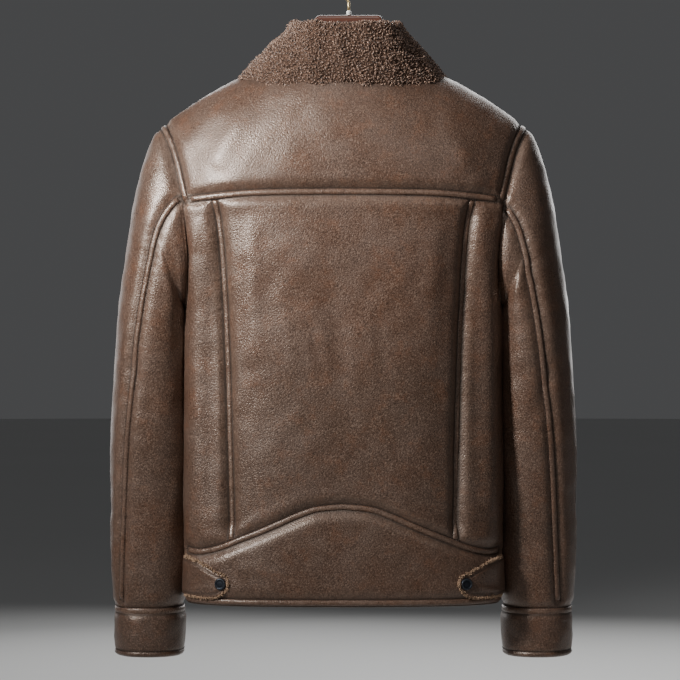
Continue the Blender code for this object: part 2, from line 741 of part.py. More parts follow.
def armhole_strip_line(turn):
    """The middle of the strip beside the armhole's edge, laid back on the torso below the shoulder."""
    edge, normals = armhole(turn)
    aside = edge - armhole_way_out(turn) * STRIP_EDGE
    x, y, z = np.moveaxis(aside, -1, 0)
    row = through(TORSO, z)
    middle, outward = aside.copy(), normals.copy()
    for face, depth in ((BACK, row.back_depth), (FRONT, row.front_depth)):
        arch = np.sqrt(1 - (1 - np.clip((shoulder_z(x) - z) / SHOULDER_ROLL[face], 0.01, 1)) ** 2)
        ahead = (np.abs(x) / row.half_width) ** (1 / OVAL)
        around = np.arctan2((np.abs(y) / (depth * arch)) ** (1 / OVAL), ahead)
        laid, way = torso(face, around, z)
        use = (np.sign(y) == face) & (z < shoulder_z(x) - 0.03)
        middle[use], outward[use] = laid[use], way[use]
    return middle, outward


def cuff_ring(turn, z, grow):
    taper = 1 + (CUFF_TAPER - 1) * (CUFF_TOP_Z - z) / (CUFF_TOP_Z - CUFF_LOW_Z)
    x = CUFF_CENTRE_X + (CUFF_HALF_WIDTH * taper + grow) * power(np.cos(turn), SLEEVE_OVAL)
    y = CUFF_MIDDLE_Y + (CUFF_HALF_DEPTH * taper + grow) * power(np.sin(turn), SLEEVE_OVAL)
    return np.stack(np.broadcast_arrays(x, y, z), axis=-1)


def make_cuff(name, mirror):
    turn, z = np.meshgrid(
        np.linspace(0, 2 * math.pi, 24, endpoint=False), np.linspace(CUFF_TOP_Z, CUFF_LOW_Z, 3)
    )
    outer = cuff_ring(turn, z, CUFF_PROUD)
    inner = cuff_ring(turn, z, CUFF_PROUD - WALL)
    if mirror:
        outer, inner = mirrored(outer), mirrored(inner)
    wall(f"cuff_{name}", outer, inner, LEATHER, ring=True)
    middle = cuff_ring(turn[0], np.full(24, CUFF_TOP_Z), CUFF_PROUD)
    centre = np.array((CUFF_CENTRE_X, CUFF_MIDDLE_Y, CUFF_TOP_Z))
    strip(f"strip_cuff_{name}", middle, unit(middle - centre), closed=True, mirror=mirror)


# Collar


def collar_ends(around):
    """The neckline and the collar's outer edge at a place round the neck, and the torso's normal there."""
    row = through(NECK, abs(around))
    face = BACK if abs(around) <= 90 else FRONT
    neck, _ = torso(face, turn_at(row.neck_x, row.neck_z), row.neck_z)
    edge, normal = torso(face, turn_at(row.edge_x, row.edge_z), row.edge_z)
    return row, neck, edge, normal


def collar_section(around):
    """The collar's wall at one place round the neck: stand, roll and fall, as a closed outline."""
    place = abs(around)
    row, neck, edge, edge_normal = collar_ends(place)
    along = (collar_ends(place + 2)[1] - collar_ends(max(place - 2, 0))[1]) * (1, 1, 0)
    if place < 2:
        along = np.array((1.0, 0, 0))
    up = np.array((0, 0, 1.0))
    out = unit(np.cross(up, along))
    out = out * np.sign(out @ (neck * (1, 1, 0)))
    neck = neck - out * (COLLAR_WALL / 2 + COLLAR_NECK_STEP) - up * COLLAR_DROP
    edge = edge + edge_normal * (COLLAR_EDGE_WALL / 2 + COLLAR_LIFT)
    roll = np.array((row.roll_x, row.roll_y, row.roll_z)) - up * (COLLAR_ROLL + COLLAR_WALL / 2)
    angles = np.radians((180, 135, 90, 45, 0))
    line = [neck, neck * 0.45 + (roll - out * COLLAR_ROLL) * 0.55]
    line += [roll + out * COLLAR_ROLL * math.cos(a) + up * COLLAR_ROLL * math.sin(a) for a in angles]
    start = line[-1]
    belly = (out + edge_normal) * COLLAR_BELLY
    line += [start + (edge - start) * t + belly * 4 * t * (1 - t) for t in (0.33, 0.66, 1.0)]
    line = np.array(line)
    ahead = np.gradient(line, axis=0)
    flat = unit(np.stack([ahead @ out, ahead @ up], axis=-1))
    normal = up * flat[:, :1] - out * flat[:, 1:]
    normal[-1] = edge_normal
    half = np.full(len(line), COLLAR_WALL / 2)
    half[-2:] = ((COLLAR_WALL + COLLAR_EDGE_WALL) / 4, COLLAR_EDGE_WALL / 2)
    outer = line + normal * half[:, None]
    inner = line - normal * half[:, None]
    tip = line[-1] + unit(line[-1] - line[-2]) * 0.002
    loop = np.concatenate([outer, [tip], inner[::-1]])
    lift = np.clip((loop[:, 2] - neck[2]) / (row.roll_z - neck[2]), 0, 1)
    loop[:, 0] *= -1 if around < 0 else 1
    loop[:, 0] -= COLLAR_LEAN * lift
    return loop


def make_collar():
    stations = np.linspace(-COLLAR_END, COLLAR_END, 37)
    loops = np.array([collar_section(around) for around in stations])
    count, size = loops.shape[:2]
    faces = grid_faces(count, size, ring=True)
    faces += [tuple(range(size)), tuple((count - 1) * size + j for j in reversed(range(size)))]
    solid("collar", loops.reshape(-1, 3), faces, PILE)


# Hanger


def make_hanger():
    """A shaped wooden hanger: a flat-topped middle that shows above the collar, and arms that slope
    under the shoulders."""
    half = np.array([row.x for row in HANGER])
    x = np.concatenate([-half[:0:-1], half])
    at = through(HANGER, np.abs(x))
    bevel = 0.35
    sides = ((-1, 1 - bevel), (-1 + bevel, 1), (1 - bevel, 1), (1, 1 - bevel))
    sides += tuple((a, -h) for a, h in reversed(sides))
    middle = (at.top_z + at.low_z) / 2
    reach = (at.top_z - at.low_z) / 2
    points = []
    for i, place in enumerate(x):
        for a, h in sides:
            edge = at.half_thickness[i] * (1 - abs(h)) if abs(h) < 1 else 0
            z = middle[i] + math.copysign(reach[i] - edge, h)
            points.append((place, a * at.half_thickness[i], z))
    count = len(sides)
    faces = grid_faces(len(x), count, ring=True)
    faces += [tuple(range(count)), tuple((len(x) - 1) * count + j for j in reversed(range(count)))]
    solid("hanger", points, faces, WOOD, on_coat=False)


def make_hook():
    """Bent wire: a bulb on the hanger, a straight shank, a short bend, and the round of the hook."""
    top = HANGER[0].top_z + 0.0003
    centre_z = -(HOOK_RADIUS - WIRE)
    bulb_z = top + BULB
    line = [
        ((0, 0, top), 0.0016),
        ((0, 0, top + 0.0010), 0.0028),
        ((0, 0, bulb_z), BULB),
        ((0, 0, bulb_z + 0.0022), 0.0025),
        ((0, 0, bulb_z + 0.0034), WIRE),
        ((0, 0, -0.0440), WIRE),
        ((0, 0, -0.0395), WIRE),
        ((0.0008, 0, -0.0365), WIRE),
        ((0.0040, 0, -0.0331), WIRE),
    ]
    for angle in range(-52, 206, 14):
        turn = math.radians(angle)
        line.append(((HOOK_RADIUS * math.cos(turn), 0, centre_z + HOOK_RADIUS * math.sin(turn)), WIRE))
    last = np.array(line[-1][0])
    ahead = unit(last - np.array(line[-2][0]))
    line += [(tuple(last + ahead * d), r) for d, r in ((0.002, 0.0024), (0.0038, 0.0024), (0.0054, 0.0012))]
    middle = np.array([place for place, _ in line], float)
    radius = np.array([r for _, r in line])
    ahead = unit(np.gradient(middle, axis=0))
    aside = np.array((0, 1.0, 0))
    sides = 8
    points = []
    for place, way, r in zip(middle, ahead, radius):
        second = np.cross(way, aside)
        for j in range(sides):
            angle = 2 * math.pi * (j + 0.5) / sides
            points.append(place + aside * r * math.cos(angle) + second * r * math.sin(angle))
    faces = grid_faces(len(middle), sides, ring=True)
    faces += [tuple(range(sides)), tuple((len(middle) - 1) * sides + j for j in reversed(range(sides)))]
    solid("hanger_hook", points, faces, BRASS, on_coat=False)


def main():
    clear_scene()
    make_back()
    make_front()
    make_body_strips()
    make_tabs()
    make_sleeves()
    make_collar()
    make_hanger()
    make_hook()


main()
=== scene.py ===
"""A worn leather jacket with a curly-pile collar, hung empty on a wooden hanger and seen from behind.

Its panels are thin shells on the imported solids' own form, in metres, +Z up, +Y towards the jacket's back.
"""

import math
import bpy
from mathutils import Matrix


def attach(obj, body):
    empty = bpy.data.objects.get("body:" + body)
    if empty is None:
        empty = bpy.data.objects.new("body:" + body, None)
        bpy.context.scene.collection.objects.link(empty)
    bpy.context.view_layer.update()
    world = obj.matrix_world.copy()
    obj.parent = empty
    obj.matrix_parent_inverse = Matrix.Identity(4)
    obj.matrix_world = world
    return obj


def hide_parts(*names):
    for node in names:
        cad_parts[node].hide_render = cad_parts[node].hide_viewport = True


bl_info = {
    "name": "Leather jacket on a hanger",
    "version": (1, 0, 0),
    "blender": (4, 5, 0),
    "location": "3D View > Sidebar > Jacket",
    "description": "Panels, seam strips, stitching, curly pile, studs and hanger of a leather jacket",
    "category": "Add Mesh",
}

from collections import namedtuple

import bmesh
import bpy
import numpy as np
from mathutils import Vector
from mathutils.kdtree import KDTree

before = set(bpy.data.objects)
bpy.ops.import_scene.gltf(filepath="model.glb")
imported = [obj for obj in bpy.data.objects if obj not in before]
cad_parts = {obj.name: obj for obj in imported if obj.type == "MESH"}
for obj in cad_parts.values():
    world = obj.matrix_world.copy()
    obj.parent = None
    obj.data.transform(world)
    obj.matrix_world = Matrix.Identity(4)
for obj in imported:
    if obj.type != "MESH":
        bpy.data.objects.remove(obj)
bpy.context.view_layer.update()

WALL = 0.0026  # leather with its short pile lining
STRIP_EDGE = 0.0055  # from a finished edge in to the middle of the strip along it
COAT_SIDE_STEP = 0.007  # the coat hangs this far to the wearer's left of its hook

HEM_Z = -0.828
SHOULDER_TIP_Z = -0.207
UNDERARM_Z = -0.450
NECK_X = 0.083  # where the shoulder line meets the neckline
CUFF_TOP_Z = -0.8414
CUFF_LOW_Z = -0.9020
PLACKET_HALF = 0.028
FRONT_STUDS = 6
STUD_RADIUS = 0.0085

# Form of the torso's level sections, a rounded oval, and of the roll over the shoulder
OVAL = 2 / 2.8
BACK = 1
FRONT = -1
SHOULDER_ROLL = {BACK: 0.17, FRONT: 0.21}
YOKE_TURN = 78.0  # where the yoke seam meets the armhole, from the shoulder tip
SLEEVE_OVAL = 0.88
ARMHOLE_FADE = 3.5  # rings over which the armhole's own outline fades into the sleeve's ovals

COLLAR_WALL = 0.0110
COLLAR_EDGE_WALL = 0.0070
COLLAR_ROLL = 0.0075
COLLAR_NECK_STEP = 0.0048  # from the neckline's edge in to the stand
COLLAR_DROP = 0.005  # how far the stand reaches down inside the neckline
COLLAR_LIFT = 0.0012  # under the collar's outer edge
COLLAR_LEAN = 0.004  # the roll leans this far to the wearer's right
COLLAR_END = 172.0
COLLAR_BELLY = 0.0008  # how full the fall is between roll and edge

WIRE = 0.00175
HOOK_RADIUS = 0.01725
BULB = 0.0033
# The knob at the wire's end: how far past its last bend, and how many wires thick
WIRE_TIP = ((0.0016, 1.10), (0.0022, 1.35), (0.0030, 1.42), (0.0040, 1.38), (0.0048, 1.05), (0.0053, 0.50))

TINY = 1e-6

# The torso's level sections. Beside the underarm they run more smoothly than the solids' own
Height = namedtuple("Height", "z half_width back_depth front_depth")
TORSO = (
    Height(-0.8280, 0.2075, 0.092, 0.094),
    Height(-0.7000, 0.2075, 0.096, 0.100),
    Height(-0.5500, 0.2070, 0.101, 0.108),
    Height(-0.5000, 0.2085, 0.103, 0.111),
    Height(-0.4500, 0.2120, 0.104, 0.113),
    Height(-0.4000, 0.2210, 0.106, 0.114),
    Height(-0.3600, 0.2302, 0.107, 0.114),
    Height(-0.3035, 0.2395, 0.107, 0.114),
    Height(-0.2695, 0.2439, 0.107, 0.113),
    Height(-0.2390, 0.2493, 0.106, 0.112),
    Height(-0.2070, 0.2596, 0.105, 0.110),
    Height(-0.1200, 0.2640, 0.105, 0.110),
)

Shoulder = namedtuple("Shoulder", "x z")
SHOULDER = (
    Shoulder(0.0000, -0.0960),
    Shoulder(0.0300, -0.0995),
    Shoulder(0.0600, -0.1095),
    Shoulder(0.0830, -0.1201),
    Shoulder(0.1455, -0.1490),
    Shoulder(0.1750, -0.1648),
    Shoulder(0.2130, -0.1872),
    Shoulder(0.2425, -0.2070),
    Shoulder(0.2700, -0.2280),
)

# Round the armhole from the shoulder tip (0) by the back or the front to the underarm (180): how far the
# torso's section has turned from its side there, in degrees
Armhole = namedtuple("Armhole", "around back_turn front_turn")
ARMHOLE = (
    Armhole(0, 24.6, 24.6),
    Armhole(40, 29.0, 31.0),
    Armhole(65, 32.0, 36.0),
    Armhole(80, 34.0, 38.0),
    Armhole(105, 33.0, 36.0),
    Armhole(130, 27.0, 29.0),
    Armhole(150, 19.0, 20.0),
    Armhole(165, 10.5, 11.0),
    Armhole(180, 0.0, 0.0),
)

Seam = namedtuple("Seam", "x z")
YOKE_SEAM = (Seam(0.000, -0.2947), Seam(0.107, -0.2957), Seam(0.160, -0.2988), Seam(0.215, -0.3045))
BAND_TOP = (
    Seam(0.000, -0.6990),
    Seam(0.032, -0.7020),
    Seam(0.061, -0.7115),
    Seam(0.088, -0.7235),
    Seam(0.111, -0.7333),
    Seam(0.137, -0.7435),
    Seam(0.158, -0.7520),
    Seam(0.176, -0.7573),
    Seam(0.190, -0.7595),
    Seam(0.207, -0.7580),
)

PanelSeam = namedtuple("PanelSeam", "z x")
PANEL_SEAM = (
    PanelSeam(-0.7600, 0.1462),
    PanelSeam(-0.6811, 0.1483),
    PanelSeam(-0.5540, 0.1515),
    PanelSeam(-0.4577, 0.1550),
    PanelSeam(-0.3622, 0.1600),
    PanelSeam(-0.2950, 0.1685),
)

# Soft ridges (+) and troughs (-) on the torso, each along a line seen from behind or in front
Fold = namedtuple("Fold", "face top_x top_z low_x low_z half_width height")
FOLDS = (
    Fold(BACK, 0.190, -0.375, 0.192, -0.745, 0.010, 0.0040),
    Fold(BACK, 0.172, -0.360, 0.171, -0.735, 0.008, -0.0030),
    Fold(BACK, -0.188, -0.365, -0.190, -0.745, 0.010, 0.0040),
    Fold(BACK, -0.171, -0.350, -0.170, -0.700, 0.008, -0.0025),
    Fold(BACK, 0.120, -0.320, 0.116, -0.520, 0.014, 0.0025),
    Fold(BACK, -0.118, -0.330, -0.110, -0.480, 0.014, 0.0020),
    Fold(BACK, 0.020, -0.390, -0.012, -0.600, 0.018, -0.0022),
    Fold(FRONT, 0.150, -0.330, 0.135, -0.640, 0.016, 0.0040),
    Fold(FRONT, -0.148, -0.350, -0.138, -0.610, 0.016, 0.0038),
    Fold(FRONT, 0.105, -0.300, 0.095, -0.520, 0.014, -0.0030),
    Fold(FRONT, -0.108, -0.330, -0.090, -0.560, 0.014, -0.0030),
)

# The sleeve's rings: outermost and innermost points seen from behind, middle and half depth front to back
Ring = namedtuple("Ring", "station outer_x outer_z inner_x inner_z middle_y half_depth")
SLEEVE = (
    Ring(0, 0.2425, -0.2070, 0.2075, -0.4500, -0.0015, 0.0680),
    Ring(1, 0.2512, -0.2269, 0.2098, -0.4499, -0.0015, 0.0690),
    Ring(2, 0.2644, -0.2666, 0.2120, -0.4520, -0.0020, 0.0700),
    Ring(3, 0.2730, -0.3062, 0.2133, -0.4570, -0.0030, 0.0705),
    Ring(4, 0.2790, -0.3459, 0.2140, -0.4670, -0.0040, 0.0705),
    Ring(5, 0.2928, -0.4450, 0.2145, -0.4930, -0.0060, 0.0690),
    Ring(6, 0.2995, -0.5245, 0.2140, -0.5400, -0.0100, 0.0650),
    Ring(7, 0.3040, -0.6037, 0.2137, -0.6070, -0.0160, 0.0600),
    Ring(8, 0.3060, -0.6830, 0.2140, -0.6830, -0.0230, 0.0560),
    Ring(9, 0.3060, -0.7600, 0.2145, -0.7600, -0.0290, 0.0525),
    Ring(10, 0.3040, -0.8408, 0.2140, -0.8408, -0.0340, 0.0490),
)
# Where each sleeve's back seam lies, in degrees round it (0 outermost, 90 back, 180 innermost): it hangs a
# little further round on the right
Place = namedtuple("Place", "station turn")
SLEEVE_SEAM = {
    "left": (
        Place(0.0, 75.5), Place(1.3, 79.0), Place(2.2, 79.5), Place(3.2, 78.0), Place(4.2, 74.2),
        Place(5.2, 68.2), Place(6.4, 61.6), Place(7.8, 52.4), Place(8.8, 47.2), Place(10.0, 41.0),
    ),
    "right": (
        Place(0.0, 81.0), Place(1.3, 88.5), Place(2.2, 92.0), Place(3.2, 91.5), Place(4.4, 88.5),
        Place(5.9, 81.0), Place(7.4, 71.5), Place(8.8, 65.0), Place(10.0, 60.0),
    ),
}
CUFF_CENTRE_X = 0.2578
CUFF_HALF_WIDTH = 0.0452
CUFF_MIDDLE_Y = -0.0345
CUFF_HALF_DEPTH = 0.0490
CUFF_TAPER = 0.975

# Round the neck from the middle of the back (0): the neckline and the collar's outer edge on the torso,
# and the top of the roll between them
Neck = namedtuple("Neck", "around neck_x neck_z roll_x roll_y roll_z edge_x edge_z")
NECK = (
    Neck(0, 0.0000, -0.1320, 0.0000, 0.0720, -0.0715, 0.0000, -0.1580),
    Neck(30, 0.0450, -0.1312, 0.0360, 0.0660, -0.0705, 0.0620, -0.1578),
    Neck(60, 0.0730, -0.1265, 0.0590, 0.0410, -0.0672, 0.1100, -0.1535),
    Neck(90, 0.0830, -0.1201, 0.0665, 0.0020, -0.0625, 0.1350, -0.1440),
    Neck(120, 0.0745, -0.1480, 0.0600, -0.0400, -0.0850, 0.1260, -0.1755),
    Neck(150, 0.0480, -0.1880, 0.0400, -0.0750, -0.1240, 0.0970, -0.2230),
    Neck(172, 0.0160, -0.2050, 0.0150, -0.0960, -0.1640, 0.0620, -0.2600),
)

# The hem tab from its root round the side seam to its rounded tip
Tab = namedtuple("Tab", "x top_z low_z")
TAB = (
    Tab(0.1480, -0.7975, -0.8005),
    Tab(0.1495, -0.7925, -0.8055),
    Tab(0.1540, -0.7885, -0.8105),
    Tab(0.1637, -0.7848, -0.8165),
    Tab(0.1766, -0.7775, -0.8178),
    Tab(0.1898, -0.7712, -0.8178),
    Tab(0.2040, -0.7672, -0.8175),
)
TAB_ROOT_TURN = 0.8
TAB_STUD_X = 0.157
TAB_STUD_Z = -0.7992

Arm = namedtuple("Arm", "x top_z low_z half_thickness")
HANGER = (
    Arm(0.0000, -0.0560, -0.1310, 0.0068),
    Arm(0.0380, -0.0560, -0.1330, 0.0068),
    Arm(0.0435, -0.0590, -0.1345, 0.0068),
    Arm(0.0455, -0.0760, -0.1370, 0.0069),
    Arm(0.0480, -0.1060, -0.1400, 0.0070),
    Arm(0.0550, -0.1340, -0.1480, 0.0072),
    Arm(0.0850, -0.1400, -0.1580, 0.0078),
    Arm(0.1100, -0.1450, -0.1670, 0.0088),
    Arm(0.1455, -0.1595, -0.1850, 0.0108),
    Arm(0.1800, -0.1770, -0.2020, 0.0128),
    Arm(0.2130, -0.1975, -0.2200, 0.0135),
    Arm(0.2230, -0.2065, -0.2190, 0.0100),
)

CUFF_PROUD = 0.0012  # how far a cuff stands out from its sleeve
SLEEVE_FRONT_SEAM = 231.43  # degrees round the sleeve, past its underarm
LINE_STEP = 0.003  # from one point of a strip's or thread's line to the next
TREE_STEP = 0.001  # the same on the lines that distances are measured to
# Where a panel's mesh lines lie beside a seam
SEAM_STEPS = (0, 0.0010, 0.0022, 0.0034, 0.0046, 0.0058, 0.0072, 0.0088, 0.0104, 0.0124, 0.0150, 0.0185)

FLOOR_Z = -1.15
FLOOR_RADIUS = 18
WORLD_LIGHT = 0.085
CAMERA_PLACE = (0.0115, 3.3, -0.4847)
CAMERA_LENS = 132.35

# How deep the puffed back panels let their seams lie, and how quickly a valley rises again on each side
PANEL_VALLEY = 0.0098
VALLEY_TO_SIDE = 0.0210
VALLEY_TO_CENTRE = 0.0240
LEVEL_VALLEY = 0.0026  # along the yoke and band seams
LEVEL_VALLEY_WIDTH = 0.011

# How far each panel swells out between its seams, and within what distance of them
Pillow = namedtuple("Pillow", "rise reach")
YOKE_PILLOW = Pillow(0.0050, 0.034)
CENTRE_PILLOW = Pillow(0.0046, 0.045)
SIDE_PILLOW = Pillow(0.0052, 0.018)
BAND_PILLOW = Pillow(0.0036, 0.020)
FRONT_PILLOW = Pillow(0.0030, 0.030)
SLEEVE_PILLOW = Pillow(0.0040, 0.024)

# From an edge in to the row of stitches along it
PLACKET_ROW = 0.0055
CUFF_ROW = 0.0075
TAB_ROW = 0.0048

CURL_SIDES = 3
# From a curl's root to its end: how thick it is, and how far its colour runs from the painted shade at its
# root to the pale tips' colour
CURL_THICKNESS = (0.70, 1.00, 1.05, 1.05, 1.00, 0.85, 0.45)
CURL_TIPS = (0.00, 0.40, 0.80, 1.00, 0.95, 0.70, 0.30)
RAW_FIBRES = 850  # round each hem tab
PILE_DEPTH = 0.0034  # how far the curls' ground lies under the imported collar's face

# Creases that the leather has taken beside the folds: seen from behind or in front on the body, and on the
# sleeve by degrees round it (in thousands) and station (in tens)
BACK_CREASES = (
    Fold(BACK, 0.046, -0.455, 0.022, -0.545, 0.0070, -0.0012),
    Fold(BACK, -0.004, -0.430, -0.016, -0.590, 0.0080, 0.0012),
    Fold(BACK, -0.046, -0.440, -0.052, -0.560, 0.0070, -0.0009),
    Fold(BACK, 0.010, -0.440, 0.004, -0.560, 0.0060, -0.0011),
    Fold(BACK, 0.085, -0.410, 0.060, -0.520, 0.0080, 0.0009),
    Fold(BACK, 0.190, -0.325, 0.196, -0.420, 0.0070, 0.0020),
    Fold(BACK, 0.120, -0.185, 0.165, -0.265, 0.0150, 0.0022),
    Fold(BACK, -0.125, -0.190, -0.165, -0.270, 0.0150, 0.0018),
    Fold(BACK, 0.060, -0.180, 0.030, -0.270, 0.0180, -0.0009),
    Fold(BACK, -0.030, -0.770, -0.120, -0.800, 0.0090, -0.0010),
    Fold(BACK, 0.140, -0.775, 0.070, -0.790, 0.0080, 0.0009),
)
FRONT_CREASES = (
    Fold(FRONT, 0.165, -0.250, 0.120, -0.330, 0.0130, 0.0024),
    Fold(FRONT, -0.160, -0.255, -0.112, -0.345, 0.0120, 0.0022),
    Fold(FRONT, 0.185, -0.430, 0.120, -0.500, 0.0090, -0.0020),
    Fold(FRONT, -0.180, -0.440, -0.118, -0.520, 0.0100, -0.0022),
    Fold(FRONT, 0.075, -0.400, 0.062, -0.600, 0.0100, 0.0018),
    Fold(FRONT, -0.072, -0.360, -0.058, -0.540, 0.0110, 0.0020),
    Fold(FRONT, 0.170, -0.560, 0.130, -0.720, 0.0120, 0.0022),
    Fold(FRONT, -0.165, -0.580, -0.140, -0.740, 0.0110, -0.0020),
)
SLEEVE_CREASES = (
    Fold("sleeve", 0.100, 0.22, 0.118, 0.50, 0.012, 0.0022),
    Fold("sleeve", 0.130, 0.30, 0.128, 0.62, 0.010, -0.0018),
    Fold("sleeve", 0.150, 0.42, 0.118, 0.66, 0.008, 0.0016),
    Fold("sleeve", 0.060, 0.56, 0.105, 0.70, 0.010, -0.0016),
    Fold("sleeve", 0.210, 0.30, 0.236, 0.58, 0.012, 0.0024),
    Fold("sleeve", 0.262, 0.36, 0.240, 0.64, 0.010, -0.0020),
    Fold("sleeve", 0.300, 0.50, 0.265, 0.66, 0.010, 0.0018),
    Fold("sleeve", 0.320, 0.16, 0.330, 0.46, 0.012, 0.0016),
    Fold("sleeve", 0.140, 0.70, 0.110, 0.92, 0.012, 0.0014),
    Fold("sleeve", 0.230, 0.72, 0.262, 0.93, 0.012, 0.0015),
)
COLLAR_CREASES = (
    Fold("collar", -0.052, -0.110, -0.104, -0.112, 0.0030, -0.0030),
    Fold("collar", -0.050, -0.117, -0.100, -0.120, 0.0050, 0.0014),
)

# Softboxes: where each stands, what it is aimed at, its size, its grid's angle in degrees and its power
Lamp = namedtuple("Lamp", "name x y z aim_x aim_z width height spread watts")
LAMPS = (
    Lamp("key", 1.75, 1.57, 0.64, 0.12, -0.22, 0.36, 0.42, 40, 7.2),
    Lamp("side_key", 2.30, 0.60, 0.70, 0.10, -0.25, 0.5, 0.8, 60, 0.5),
    Lamp("near_camera", 0.70, 2.30, -0.10, 0.15, -0.40, 0.4, 0.9, 70, 0.4),
    Lamp("fill", -0.90, 2.25, 0.80, -0.10, -0.20, 0.6, 0.6, 60, 0.5),
    Lamp("top", 0.0, 0.9, 1.7, 0.0, -0.2, 1.2, 1.0, 140, 3.2),
    Lamp("front_key", -0.50, -2.5, 0.50, 0.0, -0.45, 2.6, 2.2, 130, 34),
    Lamp("front_fill", 0.90, -2.4, -0.10, 0.0, -0.5, 2.2, 1.6, 130, 7),
)


def through(rows, at):
    """The table's columns at values of its first one, on a smooth curve that never overshoots a row."""
    table = np.array(rows, float)
    key = table[:, 0]
    at = np.asarray(at, float)
    rise = np.diff(table, axis=0) / np.diff(key)[:, None]
    before, after = rise[:-1], rise[1:]
    same_way = before * after > 0
    mean = 2 * before * after / np.where(same_way, before + after, 1)
    slope = np.concatenate([rise[:1], np.where(same_way, mean, 0), rise[-1:]])
    inside = np.clip(at, key[0], key[-1])
    place = np.clip(np.searchsorted(key, inside, side="right") - 1, 0, len(key) - 2)
    width = (key[place + 1] - key[place])[..., None]
    t = (inside - key[place])[..., None] / width
    value = table[place] * (1 + 2 * t) * (1 - t) ** 2 + table[place + 1] * t**2 * (3 - 2 * t)
    value = value + width * (slope[place] * t * (1 - t) ** 2 - slope[place + 1] * t**2 * (1 - t))
    beyond = np.where((at < inside)[..., None], slope[0], slope[-1]) * (at - inside)[..., None]
    return type(rows[0])(*np.moveaxis(value + beyond, -1, 0))


def power(value, exponent):
    return np.sign(value) * np.abs(value) ** exponent


def unit(vectors):
    return vectors / np.linalg.norm(vectors, axis=-1, keepdims=True)


def mirrored(points):
    return points * (-1, 1, 1)


# The torso


def shoulder_z(x):
    return through(SHOULDER, np.abs(x)).z


def half_width(z):
    return through(TORSO, z).half_width


def turn_at(x, z):
    """How far round from the wearer's left side, in radians, the section at height z has this x."""
    share = np.clip(np.abs(x) / half_width(z), 0, 1)
    return np.arccos(np.sign(x) * share ** (1 / OVAL))


def side_x(turn, z):
    return half_width(z) * power(np.cos(turn), OVAL)


def bare_torso(face, turn, z):
    """A point of the torso's plain form. The turn runs from the wearer's left side (0) to the right (pi)."""
    at = through(TORSO, z)
    depth = at.back_depth if face == BACK else at.front_depth
    x = at.half_width * power(np.cos(turn), OVAL)
    fall = (shoulder_z(x) - z) / SHOULDER_ROLL[face]
    arch = np.sign(fall) * np.sqrt(1 - (1 - np.minimum(np.abs(fall), 1)) ** 2)
    y = face * depth * power(np.sin(turn), OVAL) * arch
    return np.stack(np.broadcast_arrays(x, y, z), axis=-1)


def unevenness(points, size, seed):
    """Smooth, irregular rise and fall between about -1 and 1, with swells of this size."""
    rng = np.random.default_rng(seed)
    total = np.zeros(points.shape[:-1])
    for _ in range(10):
        way = unit(rng.normal(size=3)) * 2 * math.pi / size * rng.uniform(0.55, 1.45)
        total = total + np.sin(points @ way + rng.uniform(0, 2 * math.pi))
    return total / 3.2


def ramp(value, low, high):
    """0 below low, 1 above high, and smooth between them."""
    t = np.clip((value - low) / (high - low), 0, 1)
    return t * t * (3 - 2 * t)


# The jacket's surface, with the creases that its leather has taken


def creased(rows, across, down):
    """How far a table of ridges (+) and troughs (-) stands out at places on a surface."""
    out = np.zeros(np.broadcast(across, down).shape)
    for row in rows:
        along = np.array((row.low_x - row.top_x, row.low_z - row.top_z))
        length = np.hypot(*along)
        t = ((across - row.top_x) * along[0] + (down - row.top_z) * along[1]) / length**2
        aside = ((across - row.top_x) * along[1] - (down - row.top_z) * along[0]) / length
        ends = np.clip(t * (1 - t) * 4, 0, 1) ** 0.7
        out = out + row.height * ends * np.exp(-((aside / row.half_width) ** 2))
    return out


def torso(face, turn, z):
    """Points on the torso, creases included, with the outward normals of its plain form."""
    points = bare_torso(face, turn, z)
    across = bare_torso(face, turn + TINY, z) - bare_torso(face, turn - TINY, z)
    along = bare_torso(face, turn, z + TINY) - bare_torso(face, turn, z - TINY)
    normals = unit(np.cross(across, along)) * face
    relief = creased([row for row in FOLDS if row.face == face], points[..., 0], z)
    relief = relief + 0.0006 * unevenness(points, 0.11, 3) + 0.00025 * unevenness(points, 0.034, 4)
    if face == BACK:
        relief = relief + creased(BACK_CREASES, points[..., 0], z) - valleys(points[..., 0], z)
    else:
        relief = relief + creased(FRONT_CREASES, points[..., 0], z)
    return points + normals * relief[..., None], normals


def valleys(x, z):
    """How deep the puffed panels of the back let their seams lie."""
    high, low = yoke_z(x), band_z(x)
    between = ramp(z, low - 0.004, low + 0.030) * (1 - ramp(z, high - 0.030, high + 0.004))
    aside = np.abs(x) - panel_x(z)
    rising = np.where(aside > 0, VALLEY_TO_SIDE, VALLEY_TO_CENTRE)
    depth = PANEL_VALLEY * np.exp(-np.abs(aside) / rising) * between
    within = LEVEL_VALLEY * (1 - ramp(np.abs(x), 0.175, 0.205))
    for seam_z in (high, low):
        depth = depth + within * np.exp(-(((z - seam_z) / LEVEL_VALLEY_WIDTH) ** 2))
    return depth


def armhole_turn(face, z):
    """Where a panel on the torso ends at its side: the armhole's edge, or the side seam below it."""
    middle = (SHOULDER_TIP_Z + UNDERARM_Z) / 2
    reach = (SHOULDER_TIP_Z - UNDERARM_Z) / 2
    around = np.degrees(np.arccos(np.clip((z - middle) / reach, -1, 1)))
    at = through(ARMHOLE, around)
    return np.radians(at.back_turn if face == BACK else at.front_turn)


def yoke_z(x):
    return through(YOKE_SEAM, np.abs(x)).z


def band_z(x):
    return through(BAND_TOP, np.abs(x)).z


def panel_x(z):
    return through(PANEL_SEAM, z).x


